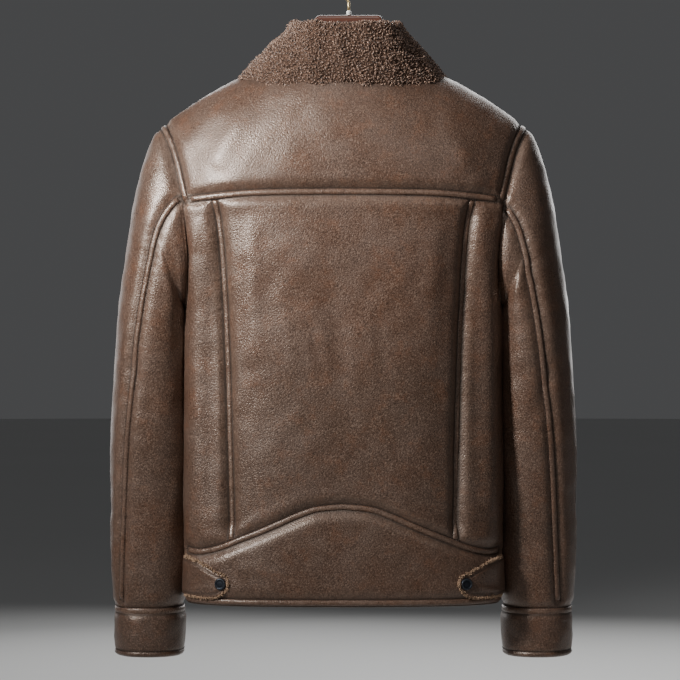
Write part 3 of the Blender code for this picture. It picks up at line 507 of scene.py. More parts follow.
def top_z(face):
    """The upper edge of a face of the coat: its neckline, then the shoulder line."""
    rows = [row for row in NECK if (row.around <= 90) == (face == BACK) or row.around == 90]
    line = sorted(Seam(row.neck_x, row.neck_z) for row in rows)
    if face == FRONT:
        line.insert(0, Seam(0.0, line[0].z - 0.002))

    def height(x):
        return np.where(np.abs(x) < NECK_X, through(line, np.abs(x)).z, shoulder_z(x))

    return height


def armhole(turn):
    """The armhole's edge on the body and its normals there."""
    face_back = np.sin(turn) >= 0
    middle = (SHOULDER_TIP_Z + UNDERARM_Z) / 2
    z = middle + (SHOULDER_TIP_Z - UNDERARM_Z) / 2 * np.cos(turn)
    around = np.degrees(np.arccos(np.clip(np.cos(turn), -1, 1)))
    at = through(ARMHOLE, around)
    back = torso(BACK, np.radians(at.back_turn), z)
    front = torso(FRONT, np.radians(at.front_turn), z)
    points = np.where(face_back[..., None], back[0], front[0])
    normals = np.where(face_back[..., None], back[1], front[1])
    return points, normals


def armhole_way_out(turn):
    """The direction across the armhole's edge, in the body's surface, that leads off the body."""
    points, normals = armhole(turn)
    along = armhole(turn + 0.01)[0] - armhole(turn - 0.01)[0]
    out = unit(np.cross(along, normals))
    centre = np.array((0.225, 0.0, (SHOULDER_TIP_Z + UNDERARM_Z) / 2))
    return out * np.sign(np.sum(out * (centre - points), axis=-1, keepdims=True))


def armhole_strip_line(turn):
    """The middle of the strip beside the armhole's edge, laid back on the torso below the shoulder."""
    edge, normals = armhole(turn)
    aside = edge - armhole_way_out(turn) * STRIP_EDGE
    x, y, z = np.moveaxis(aside, -1, 0)
    row = through(TORSO, z)
    middle, outward = aside.copy(), normals.copy()
    for face, depth in ((BACK, row.back_depth), (FRONT, row.front_depth)):
        arch = np.sqrt(1 - (1 - np.clip((shoulder_z(x) - z) / SHOULDER_ROLL[face], 0.01, 1)) ** 2)
        ahead = (np.abs(x) / row.half_width) ** (1 / OVAL)
        around = np.arctan2((np.abs(y) / (depth * arch)) ** (1 / OVAL), ahead)
        laid, way = torso(face, around, z)
        use = (np.sign(y) == face) & (z < shoulder_z(x) - 0.03)
        middle[use], outward[use] = laid[use], way[use]
    return middle, outward


def ring_point(ring, turn):
    reach = power(np.cos(turn), SLEEVE_OVAL)
    x = (ring.outer_x + ring.inner_x) / 2 + (ring.outer_x - ring.inner_x) / 2 * reach
    z = (ring.outer_z + ring.inner_z) / 2 + (ring.outer_z - ring.inner_z) / 2 * reach
    y = ring.middle_y + ring.half_depth * power(np.sin(turn), SLEEVE_OVAL)
    return np.stack([x, y, z], axis=-1)


def bare_sleeve(turn, station):
    """A point of the plain left sleeve, which lies flat against the body where it hangs beside it."""
    ring = through(SLEEVE, station)
    touching = 0.011 * ramp(station, 1.4, 4.0) * (1 - ramp(station, 9.2, 9.95))
    ring = ring._replace(inner_x=ring.inner_x - touching)
    fade = np.clip(1 - station / ARMHOLE_FADE, 0, 1)[..., None] ** 2
    own = armhole(turn)[0] - ring_point(through(SLEEVE, 0 * station), turn)
    points = ring_point(ring, turn) + own * fade
    x, y, z = np.moveaxis(points, -1, 0)
    row = through(TORSO, np.maximum(z, HEM_Z))
    depth = np.where(y > 0, row.back_depth, row.front_depth)
    body_x = row.half_width * (1 - np.clip(np.abs(y) / depth, 0, 1) ** (2 / OVAL)) ** (OVAL / 2) + 0.0008
    lapped = np.logaddexp(x / 0.0012, body_x / 0.0012) * 0.0012
    free = ramp(station, 2.4, 3.4) * (1 - ramp(station, 9.4, 9.9))
    points[..., 0] = x + (lapped - x) * free
    return points


def sleeve(turn, station):
    """Points on the left sleeve, creases included, with their outward normals."""
    points = bare_sleeve(turn, station)
    step = 1e-4
    across = bare_sleeve(turn + step, station) - bare_sleeve(turn - step, station)
    along = bare_sleeve(turn, station + step) - bare_sleeve(turn, station - step)
    normals = unit(np.cross(along, across))
    degrees = np.degrees(turn) % 360
    relief = creased(SLEEVE_CREASES, degrees / 1000, station / 10)
    relief = relief + 0.0005 * unevenness(points, 0.10, 5) + 0.0003 * unevenness(points, 0.036, 6)
    relief = relief * ramp(station, 0.0, 0.8)
    tucked = ramp(degrees, 76, 92) * (1 - ramp(degrees, 168, 184)) * (1 - ramp(station, 0.0, 1.1))
    return points + normals * (relief - 0.0030 * tucked)[..., None], normals


def back_seam(side):
    return lambda station: np.radians(through(SLEEVE_SEAM[side], station).turn)


def cuff_ring(turn, z, grow):
    taper = 1 + (CUFF_TAPER - 1) * (CUFF_TOP_Z - z) / (CUFF_TOP_Z - CUFF_LOW_Z)
    x = CUFF_CENTRE_X + (CUFF_HALF_WIDTH * taper + grow) * power(np.cos(turn), SLEEVE_OVAL)
    y = CUFF_MIDDLE_Y + (CUFF_HALF_DEPTH * taper + grow) * power(np.sin(turn), SLEEVE_OVAL)
    return np.stack(np.broadcast_arrays(x, y, z), axis=-1)


# Lines that strips and stitches follow

Line = namedtuple("Line", "points normals closed")


def even(line, step):
    """The line again, with its points this far apart."""
    points, normals = line.points, line.normals
    if line.closed:
        points = np.concatenate([points, points[:1]])
        normals = np.concatenate([normals, normals[:1]])
    run = np.concatenate([[0], np.cumsum(np.linalg.norm(np.diff(points, axis=0), axis=1))])
    count = max(4, int(round(run[-1] / step)))
    at = np.linspace(0, run[-1], count + 1)
    at = at[:-1] if line.closed else at
    points = np.stack([np.interp(at, run, c) for c in points.T], axis=1)
    normals = unit(np.stack([np.interp(at, run, c) for c in normals.T], axis=1))
    return Line(points, normals, line.closed)


def moved(line, aside=0.0, out=0.0):
    """The line beside itself, and out from what it lies on."""
    if line.closed:
        ahead = np.roll(line.points, -1, axis=0) - np.roll(line.points, 1, axis=0)
    else:
        ahead = np.gradient(line.points, axis=0)
    way = unit(np.cross(line.normals, ahead))
    return line._replace(points=line.points + way * aside + line.normals * out)


def other_side(line):
    return line._replace(points=mirrored(line.points), normals=mirrored(line.normals))


def on_torso(face, x, z):
    points, normals = torso(face, turn_at(x, z), z)
    return even(Line(points, normals, False), LINE_STEP)


def strip_lines():
    """Every raised seam strip's middle line, by the name of its node."""
    lines = {}
    reach = side_x(armhole_turn(BACK, -0.304), -0.304) - 2 * STRIP_EDGE
    x = np.linspace(reach, -reach, 150)
    lines["strip_yoke"] = on_torso(BACK, x, yoke_z(x))
    x = 0.2040 * np.cos(np.linspace(0, math.pi, 200))
    lines["strip_band"] = on_torso(BACK, x, band_z(x))
    turn = np.linspace(0.01, math.pi - 0.01, 240)
    points, normals = torso(BACK, turn, np.full(240, HEM_Z + STRIP_EDGE))
    lines["strip_hem_back"] = even(Line(points, normals, False), LINE_STEP)
    low = band_z(panel_x(-0.745)) + 0.004
    z = np.linspace(low, yoke_z(panel_x(-0.3)) - 0.004, 160)
    panel = on_torso(BACK, panel_x(z), z)
    turn = np.linspace(0.02, 1.0, 140) * turn_at(PLACKET_HALF + 0.002, HEM_Z)
    points, normals = torso(FRONT, turn, np.full(140, HEM_Z + STRIP_EDGE))
    hem = even(Line(points, normals, False), LINE_STEP)
    points, normals = armhole_strip_line(np.radians(np.arange(YOKE_TURN + 1, -176, -1.5)))
    hole = even(Line(points, normals, False), LINE_STEP)
    points = cuff_ring(np.radians(np.arange(0, 360, 3)), CUFF_TOP_Z, CUFF_PROUD)
    centre = np.array((CUFF_CENTRE_X, CUFF_MIDDLE_Y, CUFF_TOP_Z))
    cuff = even(Line(points, unit(points - centre), True), LINE_STEP)
    for name, line in (("panel", panel), ("hem", hem), ("armhole", hole), ("cuff", cuff)):
        lines[f"strip_{name}_left"] = line
        lines[f"strip_{name}_right"] = other_side(line)
    station = np.linspace(0.25, 9.85, 220)
    for side in SLEEVE_SEAM:
        line = even(Line(*sleeve(back_seam(side)(station), station), False), LINE_STEP)
        lines[f"strip_sleeve_{side}"] = line if side == "left" else other_side(line)
    return lines


def plain_seam_lines():
    """The seams with no strip on them: sides, shoulders, lower armholes and the sleeves' front seams."""
    z = np.linspace(HEM_Z, UNDERARM_Z, 300)
    side = Line(*torso(BACK, np.zeros(300), z), False)
    x = np.linspace(NECK_X, 0.2425, 150)
    shoulder = Line(*torso(BACK, turn_at(x, shoulder_z(x) - 1e-5), shoulder_z(x) - 1e-5), False)
    station = np.linspace(0, 10, 400)
    front = Line(*sleeve(np.full(400, math.radians(SLEEVE_FRONT_SEAM)), station), False)
    hole = Line(*armhole(np.radians(np.linspace(YOKE_TURN, 184, 240))), False)
    lines = (side, shoulder, front, hole)
    return [*lines, *(other_side(line) for line in lines)]


def nearest(tree, runs, points):
    """How far each point is from the nearest of some lines, and how far along it that place is."""
    flat = points.reshape(-1, 3)
    distance, along = np.empty(len(flat)), np.empty(len(flat))
    for i, point in enumerate(flat):
        _, index, distance[i] = tree.find(point)
        along[i] = runs[index]
    return distance.reshape(points.shape[:-1]), along.reshape(points.shape[:-1])


def line_tree(lines):
    lines = [even(line, TREE_STEP).points for line in lines]
    points = np.concatenate(lines)
    tree = KDTree(len(points))
    for i, point in enumerate(points):
        tree.insert(point, i)
    tree.balance()
    return tree, np.concatenate([np.arange(len(line)) * TREE_STEP for line in lines])


STRIPS = strip_lines()
STRIP_TREE = line_tree(STRIPS.values())
SEAM_TREE = line_tree(plain_seam_lines())
PILLOW_TREES = {name: line_tree([line]) for name, line in STRIPS.items()}
PILLOW_TREES |= {f"edge_{i}": line_tree([line]) for i, line in enumerate(plain_seam_lines())}


def pillowed(points, seams, pillow):
    """How far a panel swells out between its own seams."""
    share = 1.0
    for name in seams:
        tree, runs = PILLOW_TREES[name]
        away, _ = nearest(tree, runs, points)
        share = share * (1 - np.exp(-((away / pillow.reach) ** 1.25)))
    return pillow.rise * share


def sewn(points, normals, sizes, seams, pillow):
    """The surface pulled in along its seams and full beside them, with its wear marks and a mark of painted
    shade in and beside its grooves.
    """
    from_strip, along = nearest(*STRIP_TREE, points)
    from_seam, seam_along = nearest(*SEAM_TREE, points)
    half = sizes.strip_width / 2
    sink = sizes.seam_sink * (1 - ramp(from_strip, half * 0.8, half + 0.0095))
    full = sizes.fullness * np.exp(-(((from_strip - 0.0165) / 0.0085) ** 2))
    wave = np.sin(along * 2 * math.pi / 0.0125 + 1.7 * unevenness(points, 0.03, 8))
    pucker = 0.00028 * wave * np.exp(-(((from_strip - 0.008) / 0.0045) ** 2))
    plain = 0.0013 * (1 - ramp(from_seam, 0.0005, 0.0060))
    plain = plain - 0.0005 * np.exp(-(((from_seam - 0.009) / 0.005) ** 2))
    wave = np.sin(seam_along * 2 * math.pi / 0.014 + 1.7 * unevenness(points, 0.04, 9))
    pucker = pucker + 0.0002 * wave * np.exp(-(((from_seam - 0.006) / 0.004) ** 2))
    moved_out = full - sink - plain + pucker + pillowed(points, seams, pillow)
    # Painted shade: dark in the grooves at each strip's edges and along the plain seams, with a broader
    # fading shade beside the strips
    groove = np.exp(-(((from_strip - half - 0.0003) / 0.0014) ** 2)) + 0.35 * (from_strip < half)
    groove = groove + 0.18 * np.exp(-np.maximum(from_strip - half, 0) / 0.0050)
    groove = np.clip(groove + 0.8 * np.exp(-((from_seam / 0.0011) ** 2)), 0, 1)
    worn = 0.55 * np.exp(-(((from_strip - 0.0105) / 0.005) ** 2))
    return points + normals * moved_out[..., None], groove, worn


# Meshes


def finished(name, mesh, finishes):
    for finish in finishes:
        mesh.materials.append(finish)
    obj = bpy.data.objects.new(name, mesh)
    bpy.context.scene.collection.objects.link(obj)
    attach(obj, "root")
    return obj


def marked(mesh, **values):
    for name, value in values.items():
        attribute = mesh.attributes.new(name, "FLOAT", "POINT")
        attribute.data.foreach_set("value", np.asarray(value, np.float32).ravel())


def circle(sides):
    return np.arange(sides) * 2 * math.pi / sides


def squares(rows, columns, start=0, ring=False):
    """The faces of a grid of points."""
    wide = columns if ring else columns - 1
    i, j = np.meshgrid(np.arange(rows - 1), np.arange(wide), indexing="ij")
    after = (j + 1) % columns
    corners = (i * columns + j, i * columns + after, (i + 1) * columns + after, (i + 1) * columns + j)
    return (np.stack(corners, axis=-1).reshape(-1, 4) + start).tolist()


def turned_out(mesh):
    built = bmesh.new()
    built.from_mesh(mesh)
    bmesh.ops.recalc_face_normals(built, faces=built.faces)
    if built.calc_volume(signed=True) < 0:
        bmesh.ops.reverse_faces(built, faces=built.faces)
    built.to_mesh(mesh)
    built.free()


def shell(name, outer, inner, finishes, ring=False, groove=0.0, worn=0.0, on_coat=True):
    """A sheet of leather: its outer face, its lined inner face, and a rounded rim between them."""
    rows, columns = outer.shape[:2]
    count = rows * columns
    index = np.arange(count).reshape(rows, columns)
    if ring:
        borders = [(index[0], index[1]), (index[-1], index[-2])]
    else:
        edge = np.concatenate([index[0], index[1:, -1], index[-1, -2::-1], index[-2:0:-1, 0]])
        inside_row = np.clip(edge // columns, 1, rows - 2)
        inside = inside_row * columns + np.clip(edge % columns, 1, columns - 2)
        borders = [(edge, inside)]
    flat_outer, flat_inner = outer.reshape(-1, 3), inner.reshape(-1, 3)
    points, faces = [flat_outer, flat_inner], squares(rows, columns, 0, ring)
    lined = len(faces)
    faces += squares(rows, columns, count, ring)
    marks = [np.broadcast_to(m, (rows, columns)).ravel() for m in (groove, worn)]
    groove, worn = (np.concatenate([m, np.zeros(count)]) for m in marks)
    start = 2 * count
    for edge, inside in borders:
        middle = (flat_outer[edge] + flat_inner[edge]) / 2
        thick = np.linalg.norm(flat_outer[edge] - flat_inner[edge], axis=1, keepdims=True)
        points.append(middle + unit(flat_outer[edge] - flat_outer[inside]) * thick * 0.28)
        groove = np.concatenate([groove, groove[edge]])
        worn = np.concatenate([worn, np.maximum(worn[edge], 0.5)])
        a, b = edge, np.roll(edge, -1)
        m = start + np.arange(len(edge))
        n = np.roll(m, -1)
        faces += np.stack([a, b, n, m], axis=1).tolist()
        faces += np.stack([m, n, b + count, a + count], axis=1).tolist()
        start += len(edge)
    mesh = bpy.data.meshes.new(name)
    side_step = np.array((COAT_SIDE_STEP if on_coat else 0.0, 0, 0))
    mesh.from_pydata((np.concatenate(points) + side_step).tolist(), [], faces)
    mesh.polygons.foreach_set("material_index", [int(lined <= i < 2 * lined) for i in range(len(faces))])
    turned_out(mesh)
    mesh.shade_smooth()
    mesh.set_sharp_from_angle(angle=math.radians(66))
    marked(mesh, groove=groove, worn=worn)
    return finished(name, mesh, finishes)


def round_ends(count, sides):
    """The two faces that close a tube of rings."""
    return [list(range(sides)), [(count - 1) * sides + j for j in reversed(range(sides))]]


def smooth_mesh(name, points, faces):
    mesh = bpy.data.meshes.new(name)
    mesh.from_pydata(points.reshape(-1, 3).tolist(), [], faces)
    turned_out(mesh)
    mesh.shade_smooth()
    return mesh


def ridge(name, line, base, height, width, finish, firm=1.0):
    """A rounded strip of leather along a line, with painted shade along its edges where it is sewn down, and
    worn along its top.
    """
    count = len(line.points)
    run = np.arange(count) * LINE_STEP
    swell = 1 + 0.05 * unevenness(line.points, 0.03, 12)
    uneven = 0.10 * np.sin(run * 2 * math.pi / 0.0115) + 0.08 * unevenness(line.points, 0.05, 13)
    rise = height * (1 + uneven)
    if not line.closed:
        rise = base + (rise - base) * ramp(np.minimum(run, run[-1] - run), -0.002, 0.006)
    across = np.sin(np.linspace(-1, 1, 11) * math.pi / 2)
    arch = (1 - np.abs(across) ** 2.6) ** 0.55
    rings = [
        moved(line, width / 2 * a, 0).points + line.normals * (base + (rise - base) * h)[:, None]
        for a, h in zip(across, arch)
    ]
    points = np.stack(rings, axis=1)
    points = points + (swell - 1)[:, None, None] * (points - line.points[:, None]) * 0.6
    faces = squares(count, 11, 0, True)
    if line.closed:
        last = (count - 1) * 11
        faces += [[last + j, last + (j + 1) % 11, (j + 1) % 11, j] for j in range(11)]
    else:
        faces += round_ends(count, 11)
    mesh = smooth_mesh(name, points + (COAT_SIDE_STEP, 0, 0), faces)
    # Painted shade along the strip's sewn-down edges
    edge = np.clip((np.abs(across) - 0.82) / 0.18, 0, 1)
    top = np.clip(1 - np.abs(across) / 0.75, 0, 1)
    firm = np.broadcast_to(firm, count)[:, None]
    marked(mesh, groove=firm * edge, worn=firm * top)
    return finished(name, mesh, [finish])


def tubes(name, paths, radii, sides, finishes, tips=None):
    """Many short round threads as one mesh: each has its own path of a few points."""
    count, steps = paths.shape[:2]
    ahead = unit(np.gradient(paths, axis=1))
    across = unit(paths[:, -1:] - paths[:, :1] + (1e-6, 2e-6, 3e-6))
    first = np.cross(ahead, np.broadcast_to(across, ahead.shape))
    spare = np.cross(ahead, np.broadcast_to((0.31, 0.52, 0.80), ahead.shape))
    first = unit(np.where(np.linalg.norm(first, axis=-1, keepdims=True) < 0.15, spare, first))
    for i in range(1, steps):
        flip = np.sum(first[:, i] * first[:, i - 1], axis=-1, keepdims=True) < 0
        first[:, i] = np.where(flip, -first[:, i], first[:, i])
    second = np.cross(ahead, first)
    turn = circle(sides)
    around = first[..., None, :] * np.cos(turn)[:, None] + second[..., None, :] * np.sin(turn)[:, None]
    points = paths[..., None, :] + around * np.broadcast_to(radii, (count, steps))[..., None, None]
    one = np.array(squares(steps, sides, 0, True))
    size = steps * sides
    faces = (one[None] + np.arange(count)[:, None, None] * size).reshape(-1, 4).tolist()
    ends = (list(range(sides))[::-1], [(steps - 1) * sides + j for j in range(sides)])
    for end in ends:
        faces += (np.array(end)[None] + np.arange(count)[:, None] * size).tolist()
    mesh = bpy.data.meshes.new(name)
    mesh.from_pydata(points.reshape(-1, 3).tolist(), [], faces)
    mesh.flip_normals()
    mesh.shade_smooth()
    if tips is not None:
        marked(mesh, tip=np.repeat(np.broadcast_to(tips, (count, steps)).ravel(), sides))
    return finished(name, mesh, finishes)


def stitches(name, lines, sizes, finish, on_coat=True):
    """A row of stitches along each line."""
    paths = []
    for line in lines:
        spaced = even(line, sizes.stitch_pitch)
        if spaced.closed:
            ahead = unit(np.roll(spaced.points, -1, axis=0) - np.roll(spaced.points, 1, axis=0))
        else:
            ahead = unit(np.gradient(spaced.points, axis=0))
        steps = ((-0.5, -0.0004), (-0.22, 0.00022), (0.22, 0.00022), (0.5, -0.0004))
        length = sizes.stitch_length
        path = [spaced.points + ahead * length * a + spaced.normals * h for a, h in steps]
        paths.append(np.stack(path, axis=1))
    paths = np.concatenate(paths) + ((COAT_SIDE_STEP, 0, 0) if on_coat else (0, 0, 0))
    return tubes(name, paths, np.array((0.00022, 0.00042, 0.00042, 0.00022)), 4, [finish])


# Finishes


class Field:
    """A number or colour that varies over a surface: a node's socket, with the sums that nodes can do."""

    def __init__(self, shader, socket):
        self.shader = shader
        self.socket = socket

    def sum(self, operation, *values, **settings):
        settings["operation"] = operation
        return self.shader.node("ShaderNodeMath", settings, dict(enumerate(values)))

    def __add__(self, other):
        return self.sum("ADD", self, other)

    __radd__ = __add__

    def __mul__(self, other):
        return self.sum("MULTIPLY", self, other)

    __rmul__ = __mul__

    def __sub__(self, other):
        return self.sum("SUBTRACT", self, other)

    def __rsub__(self, other):
        return self.sum("SUBTRACT", other, self)

    def __truediv__(self, other):
        return self.sum("DIVIDE", self, other)

    def __pow__(self, other):
        return self.sum("POWER", self, other)

    def clear(self, low, high):
        """0 below low, 1 above high, and smooth between them."""
        settings = {"interpolation_type": "SMOOTHSTEP", "clamp": True}
        inputs = {"Value": self, "From Min": low, "From Max": high}
        return self.shader.node("ShaderNodeMapRange", settings, inputs)


class Shader:
    """A finish's nodes, each made by one call."""

    def __init__(self, name, **constants):
        self.material = bpy.data.materials.new(name)
        self.material.use_nodes = True
        self.nodes = self.material.node_tree.nodes
        self.links = self.material.node_tree.links
        self.surface = self.nodes["Principled BSDF"]
        for socket, value in constants.items():
            self.surface.inputs[socket.replace("_", " ")].default_value = value
        self.place = self.node("ShaderNodeTexCoord", output="Object")

    def node(self, kind, settings=None, values=None, output=0):
        made = self.nodes.new(kind)
        for key, value in (settings or {}).items():
            if key == "stops":
                ramp_stops = made.color_ramp.elements
                while len(ramp_stops) < len(value):
                    ramp_stops.new(0.5)
                for stop, (position, colour) in zip(ramp_stops, value):
                    stop.position = position
                    stop.color = colour
            else:
                setattr(made, key, value)
        for key, value in (values or {}).items():
            self.feed(made.inputs[key], value)
        return Field(self, made.outputs[output])

    def feed(self, socket, value):
        if isinstance(value, Field):
            self.links.new(value.socket, socket)
        elif socket.type == "RGBA":
            socket.default_value = (*value[:3], 1)
        else:
            socket.default_value = value

    def mark(self, name):
        return self.node("ShaderNodeAttribute", {"attribute_name": name}, output="Fac")

    def noise(self, scale, detail=2.0, roughness=0.5, at=None):
        values = {"Vector": at or self.place, "Scale": scale, "Detail": detail, "Roughness": roughness}
        return self.node("ShaderNodeTexNoise", None, values)

    def cells(self, scale, feature="F1", at=None):
        values = {"Vector": at or self.place, "Scale": scale}
        return self.node("ShaderNodeTexVoronoi", {"feature": feature}, values)

    def stretched(self, scale):
        return self.node("ShaderNodeMapping", None, {"Vector": self.place, "Scale": scale})

    def mix(self, share, first, second, blend="MIX"):
        settings = {"data_type": "RGBA", "blend_type": blend, "clamp_factor": True}
        return self.node("ShaderNodeMix", settings, {0: share, 6: first, 7: second}, output=2)

    def bump(self, height, distance, strength=1.0, normal=None):
        values = {"Height": height, "Distance": distance, "Strength": strength}
        if normal is not None:
            values["Normal"] = normal
        return self.node("ShaderNodeBump", None, values)

    def finish(self, **outputs):
        for socket, value in outputs.items():
            self.feed(self.surface.inputs[socket.replace("_", " ")], value)
        return self.material


def shade(colour, amount):
    return tuple(c * amount for c in colour[:3])


def kept(name, make):
    """The finish of this name, made the first time that a piece asks for it."""
    return bpy.data.materials.get(name) or make(name, bpy.context.scene.jacket_colours)


def make_leather(name, colours):
    """Worn, speckled brown leather: darkened by painted shade in its grooves and rubbed pale along its
    ridges.
    """
    s = Shader(name, Specular_IOR_Level=0.85, Specular_Tint=(1, 0.84, 0.72, 1), Coat_Roughness=0.30)
    groove, worn = s.mark("groove"), s.mark("worn")
    patches = s.noise(5.0, 3.0, 0.55).clear(0.36, 0.66)
    mottle = s.noise(24.0, 4.0, 0.60).clear(0.32, 0.70)
    fleck = s.noise(540.0, 2.0, 0.55)
    grain = s.cells(580.0, "SMOOTH_F1")
    pores = s.noise(900.0, 2.0, 0.6)
    colour = s.mix(patches, colours.leather, colours.leather_red)
    colour = s.mix(mottle * 0.45, colour, colours.leather_grey)
    rust = s.noise(40.0, 5.0, 0.75).clear(0.50, 0.66)
    colour = s.mix(rust * 0.30, colour, colours.leather_rust)
    colour = s.mix(fleck.clear(0.50, 0.32) * 0.62, colour, colours.leather_dark)
    colour = s.mix(fleck.clear(0.52, 0.70) * 0.50, colour, colours.leather_worn)
    rubbed = worn * s.noise(120.0, 3.0, 0.6).clear(0.30, 0.66)
    colour = s.mix(rubbed * 0.40, colour, colours.leather_worn)
    # Painted shade in the seam grooves, beside the strips and under the collar
    colour = s.mix(groove * 0.80, colour, shade(colours.leather_dark, 0.45))
    roughness = 0.37 + 0.12 * (mottle - 0.5) - 0.05 * rubbed + 0.30 * groove + 0.30 * (fleck - 0.5)
    height = (1 - grain) * 0.9 + pores * 0.5 + fleck * 0.9
    normal = s.bump(height, 0.00046, 0.80)
    return s.finish(Base_Color=colour, Roughness=roughness, Coat_Weight=0.12 * (1 - groove), Normal=normal)


def make_lining(name, colours):
    """Short curly pile, as lines the jacket."""
    s = Shader(name, Specular_IOR_Level=0.25, Sheen_Weight=0.35, Sheen_Roughness=0.6)
    curls = s.cells(260.0, "SMOOTH_F1")
    tufts = s.noise(240.0, 4.0, 0.7)
    colour = s.mix(curls.clear(0.15, 0.75), colours.pile_tip, colours.pile)
    # Painted shade between the tufts, in the pile's shadowed-root colour
    colour = s.mix(tufts.clear(0.52, 0.36) * 0.7, colour, colours.pile_dark)
    colour = s.mix(s.noise(18.0, 3.0).clear(0.4, 0.7) * 0.3, colour, shade(colours.pile, 0.72))
    normal = s.bump((1 - curls) * 0.7 + tufts * 0.6, 0.0034, 0.9)
    return s.finish(Base_Color=colour, Roughness=0.90 + 0.08 * tufts, Normal=normal)


def make_curls(name, colours):
    """The collar's curls: darkened with painted shade towards their roots, and pale at their tips."""
    s = Shader(name, Specular_IOR_Level=0.28, Sheen_Weight=0.25, Sheen_Roughness=0.5)
    tip = s.mark("tip")
    wool = s.noise(620.0, 3.0, 0.6)
    tone = s.noise(26.0, 3.0, 0.6).clear(0.34, 0.68)
    # Painted shade where the curl lies deep in the pile, in the shadowed-root colour
    colour = s.mix(tip.clear(0.05, 0.85), colours.pile_dark, colours.pile)
    colour = s.mix(tip.clear(0.55, 1.0) * 0.75, colour, colours.pile_tip)
    colour = s.mix(tone * 0.35, colour, shade(colours.pile, 0.70))
    colour = s.mix(wool.clear(0.55, 0.72) * 0.30, colour, colours.pile_tip)
    normal = s.bump(wool, 0.0006, 0.7)
    return s.finish(Base_Color=colour, Roughness=0.80 + 0.15 * wool, Normal=normal)


def make_pile_ground(name, colours):
    """The knitted ground that shows between the curls, coloured dark with painted shade."""
    s = Shader(name, Specular_IOR_Level=0.2)
    knit = s.noise(420.0, 4.0, 0.7)
    # Painted shade: darkened copies of the pile's colours
    colour = s.mix(knit.clear(0.35, 0.7), shade(colours.pile_dark, 0.8), shade(colours.pile, 0.62))
    normal = s.bump(knit, 0.0026, 0.9)
    return s.finish(Base_Color=colour, Roughness=0.92 + 0.05 * knit, Normal=normal)


def make_raw_edge(name, colours):
    """The pale twisted fibres that stand out of a tab's cut edge."""
    s = Shader(name, Specular_IOR_Level=0.3)
    fibre = s.noise(700.0, 3.0, 0.6)
    colour = s.mix(fibre.clear(0.3, 0.7), shade(colours.raw_edge, 0.62), colours.raw_edge)
    # Painted shade at the fibres' roots, in the pile's shadowed-root colour
    colour = s.mix(s.mark("tip").clear(0.0, 0.5), shade(colours.pile_dark, 1.2), colour)
    return s.finish(Base_Color=colour, Roughness=0.82 + 0.1 * fibre, Normal=s.bump(fibre, 0.0004, 0.6))


def make_thread(name, colours):
    s = Shader(name, Specular_IOR_Level=0.4)
    ply = s.noise(1500.0, 2.0)
    colour = s.mix(ply.clear(0.3, 0.7), shade(colours.thread, 0.6), colours.thread)
    return s.finish(Base_Color=colour, Roughness=0.55 + 0.2 * ply, Normal=s.bump(ply, 0.0002, 0.6))


def make_stud_metal(name, colours):
    """Blackened metal, rubbed a little brighter where it is handled."""
    s = Shader(name, Specular_IOR_Level=0.5)
    rubbed = s.mark("worn") * s.noise(500.0, 4.0, 0.7).clear(0.35, 0.7)
    cloud = s.noise(240.0, 3.0)
    colour = s.mix(cloud.clear(0.3, 0.7) * 0.5, colours.stud, shade(colours.stud, 1.9))
    colour = s.mix(rubbed * 0.55, colour, (0.16, 0.17, 0.19))
    roughness = 0.36 + 0.22 * cloud - 0.08 * rubbed
    normal = s.bump(s.noise(900.0, 2.0), 0.00012, 0.5)
    return s.finish(Base_Color=colour, Roughness=roughness, Metallic=0.75 + 0.2 * cloud, Normal=normal)


def make_wood(name, colours):
    """Red-brown wood under clear lacquer, its grain along the hanger's arms."""
    s = Shader(name, Specular_IOR_Level=0.5, Coat_Roughness=0.07)
    along = s.stretched((3.0, 60.0, 60.0))
    rings = s.noise(2.2, 5.0, 0.62, along)
    pores = s.noise(16.0, 2.0, 0.5, along)
    colour = s.mix(rings.clear(0.34, 0.68), shade(colours.wood, 0.55), colours.wood)
    colour = s.mix(pores.clear(0.56, 0.70) * 0.6, colour, shade(colours.wood, 0.25))
    normal = s.bump(pores, 0.0002, 0.2)
    roughness, coat = 0.30 + 0.14 * rings, 0.85 + 0.1 * rings
    return s.finish(Base_Color=colour, Roughness=roughness, Coat_Weight=coat, Normal=normal)


def make_wire(name, colours):
    s = Shader(name, Specular_IOR_Level=0.5)
    drawn = s.noise(9.0, 3.0, 0.6, s.stretched((40.0, 40.0, 6.0)))
    tarnish = s.noise(120.0, 4.0, 0.6).clear(0.50, 0.72)
    colour = s.mix(tarnish * 0.5, colours.brass, shade(colours.brass, 0.45))
    roughness = 0.20 + 0.14 * drawn + 0.2 * tarnish
    normal = s.bump(drawn, 0.0001, 0.3)
    return s.finish(Base_Color=colour, Roughness=roughness, Metallic=1 - 0.1 * tarnish, Normal=normal)


def make_pearl(name, colours):
    s = Shader(name, Specular_IOR_Level=0.5, Coat_Weight=0.6, Coat_Roughness=0.1)
    cloud = s.noise(300.0, 3.0)
    return s.finish(
        Base_Color=s.mix(cloud.clear(0.3, 0.7), (0.62, 0.60, 0.56), (0.80, 0.79, 0.76)),
        Roughness=0.25 + 0.1 * cloud,
    )


def make_floor(name, colours):
    s = Shader(name, Specular_IOR_Level=0.2)
    cloud = s.noise(1.2, 3.0)
    colour = s.mix(cloud * 0.25, (0.70, 0.70, 0.69), (0.62, 0.62, 0.61))
    return s.finish(Base_Color=colour, Roughness=0.85 + 0.05 * cloud)


def leather():
    return kept("worn leather", make_leather)


def lining():
    return kept("pile lining", make_lining)


# Panels


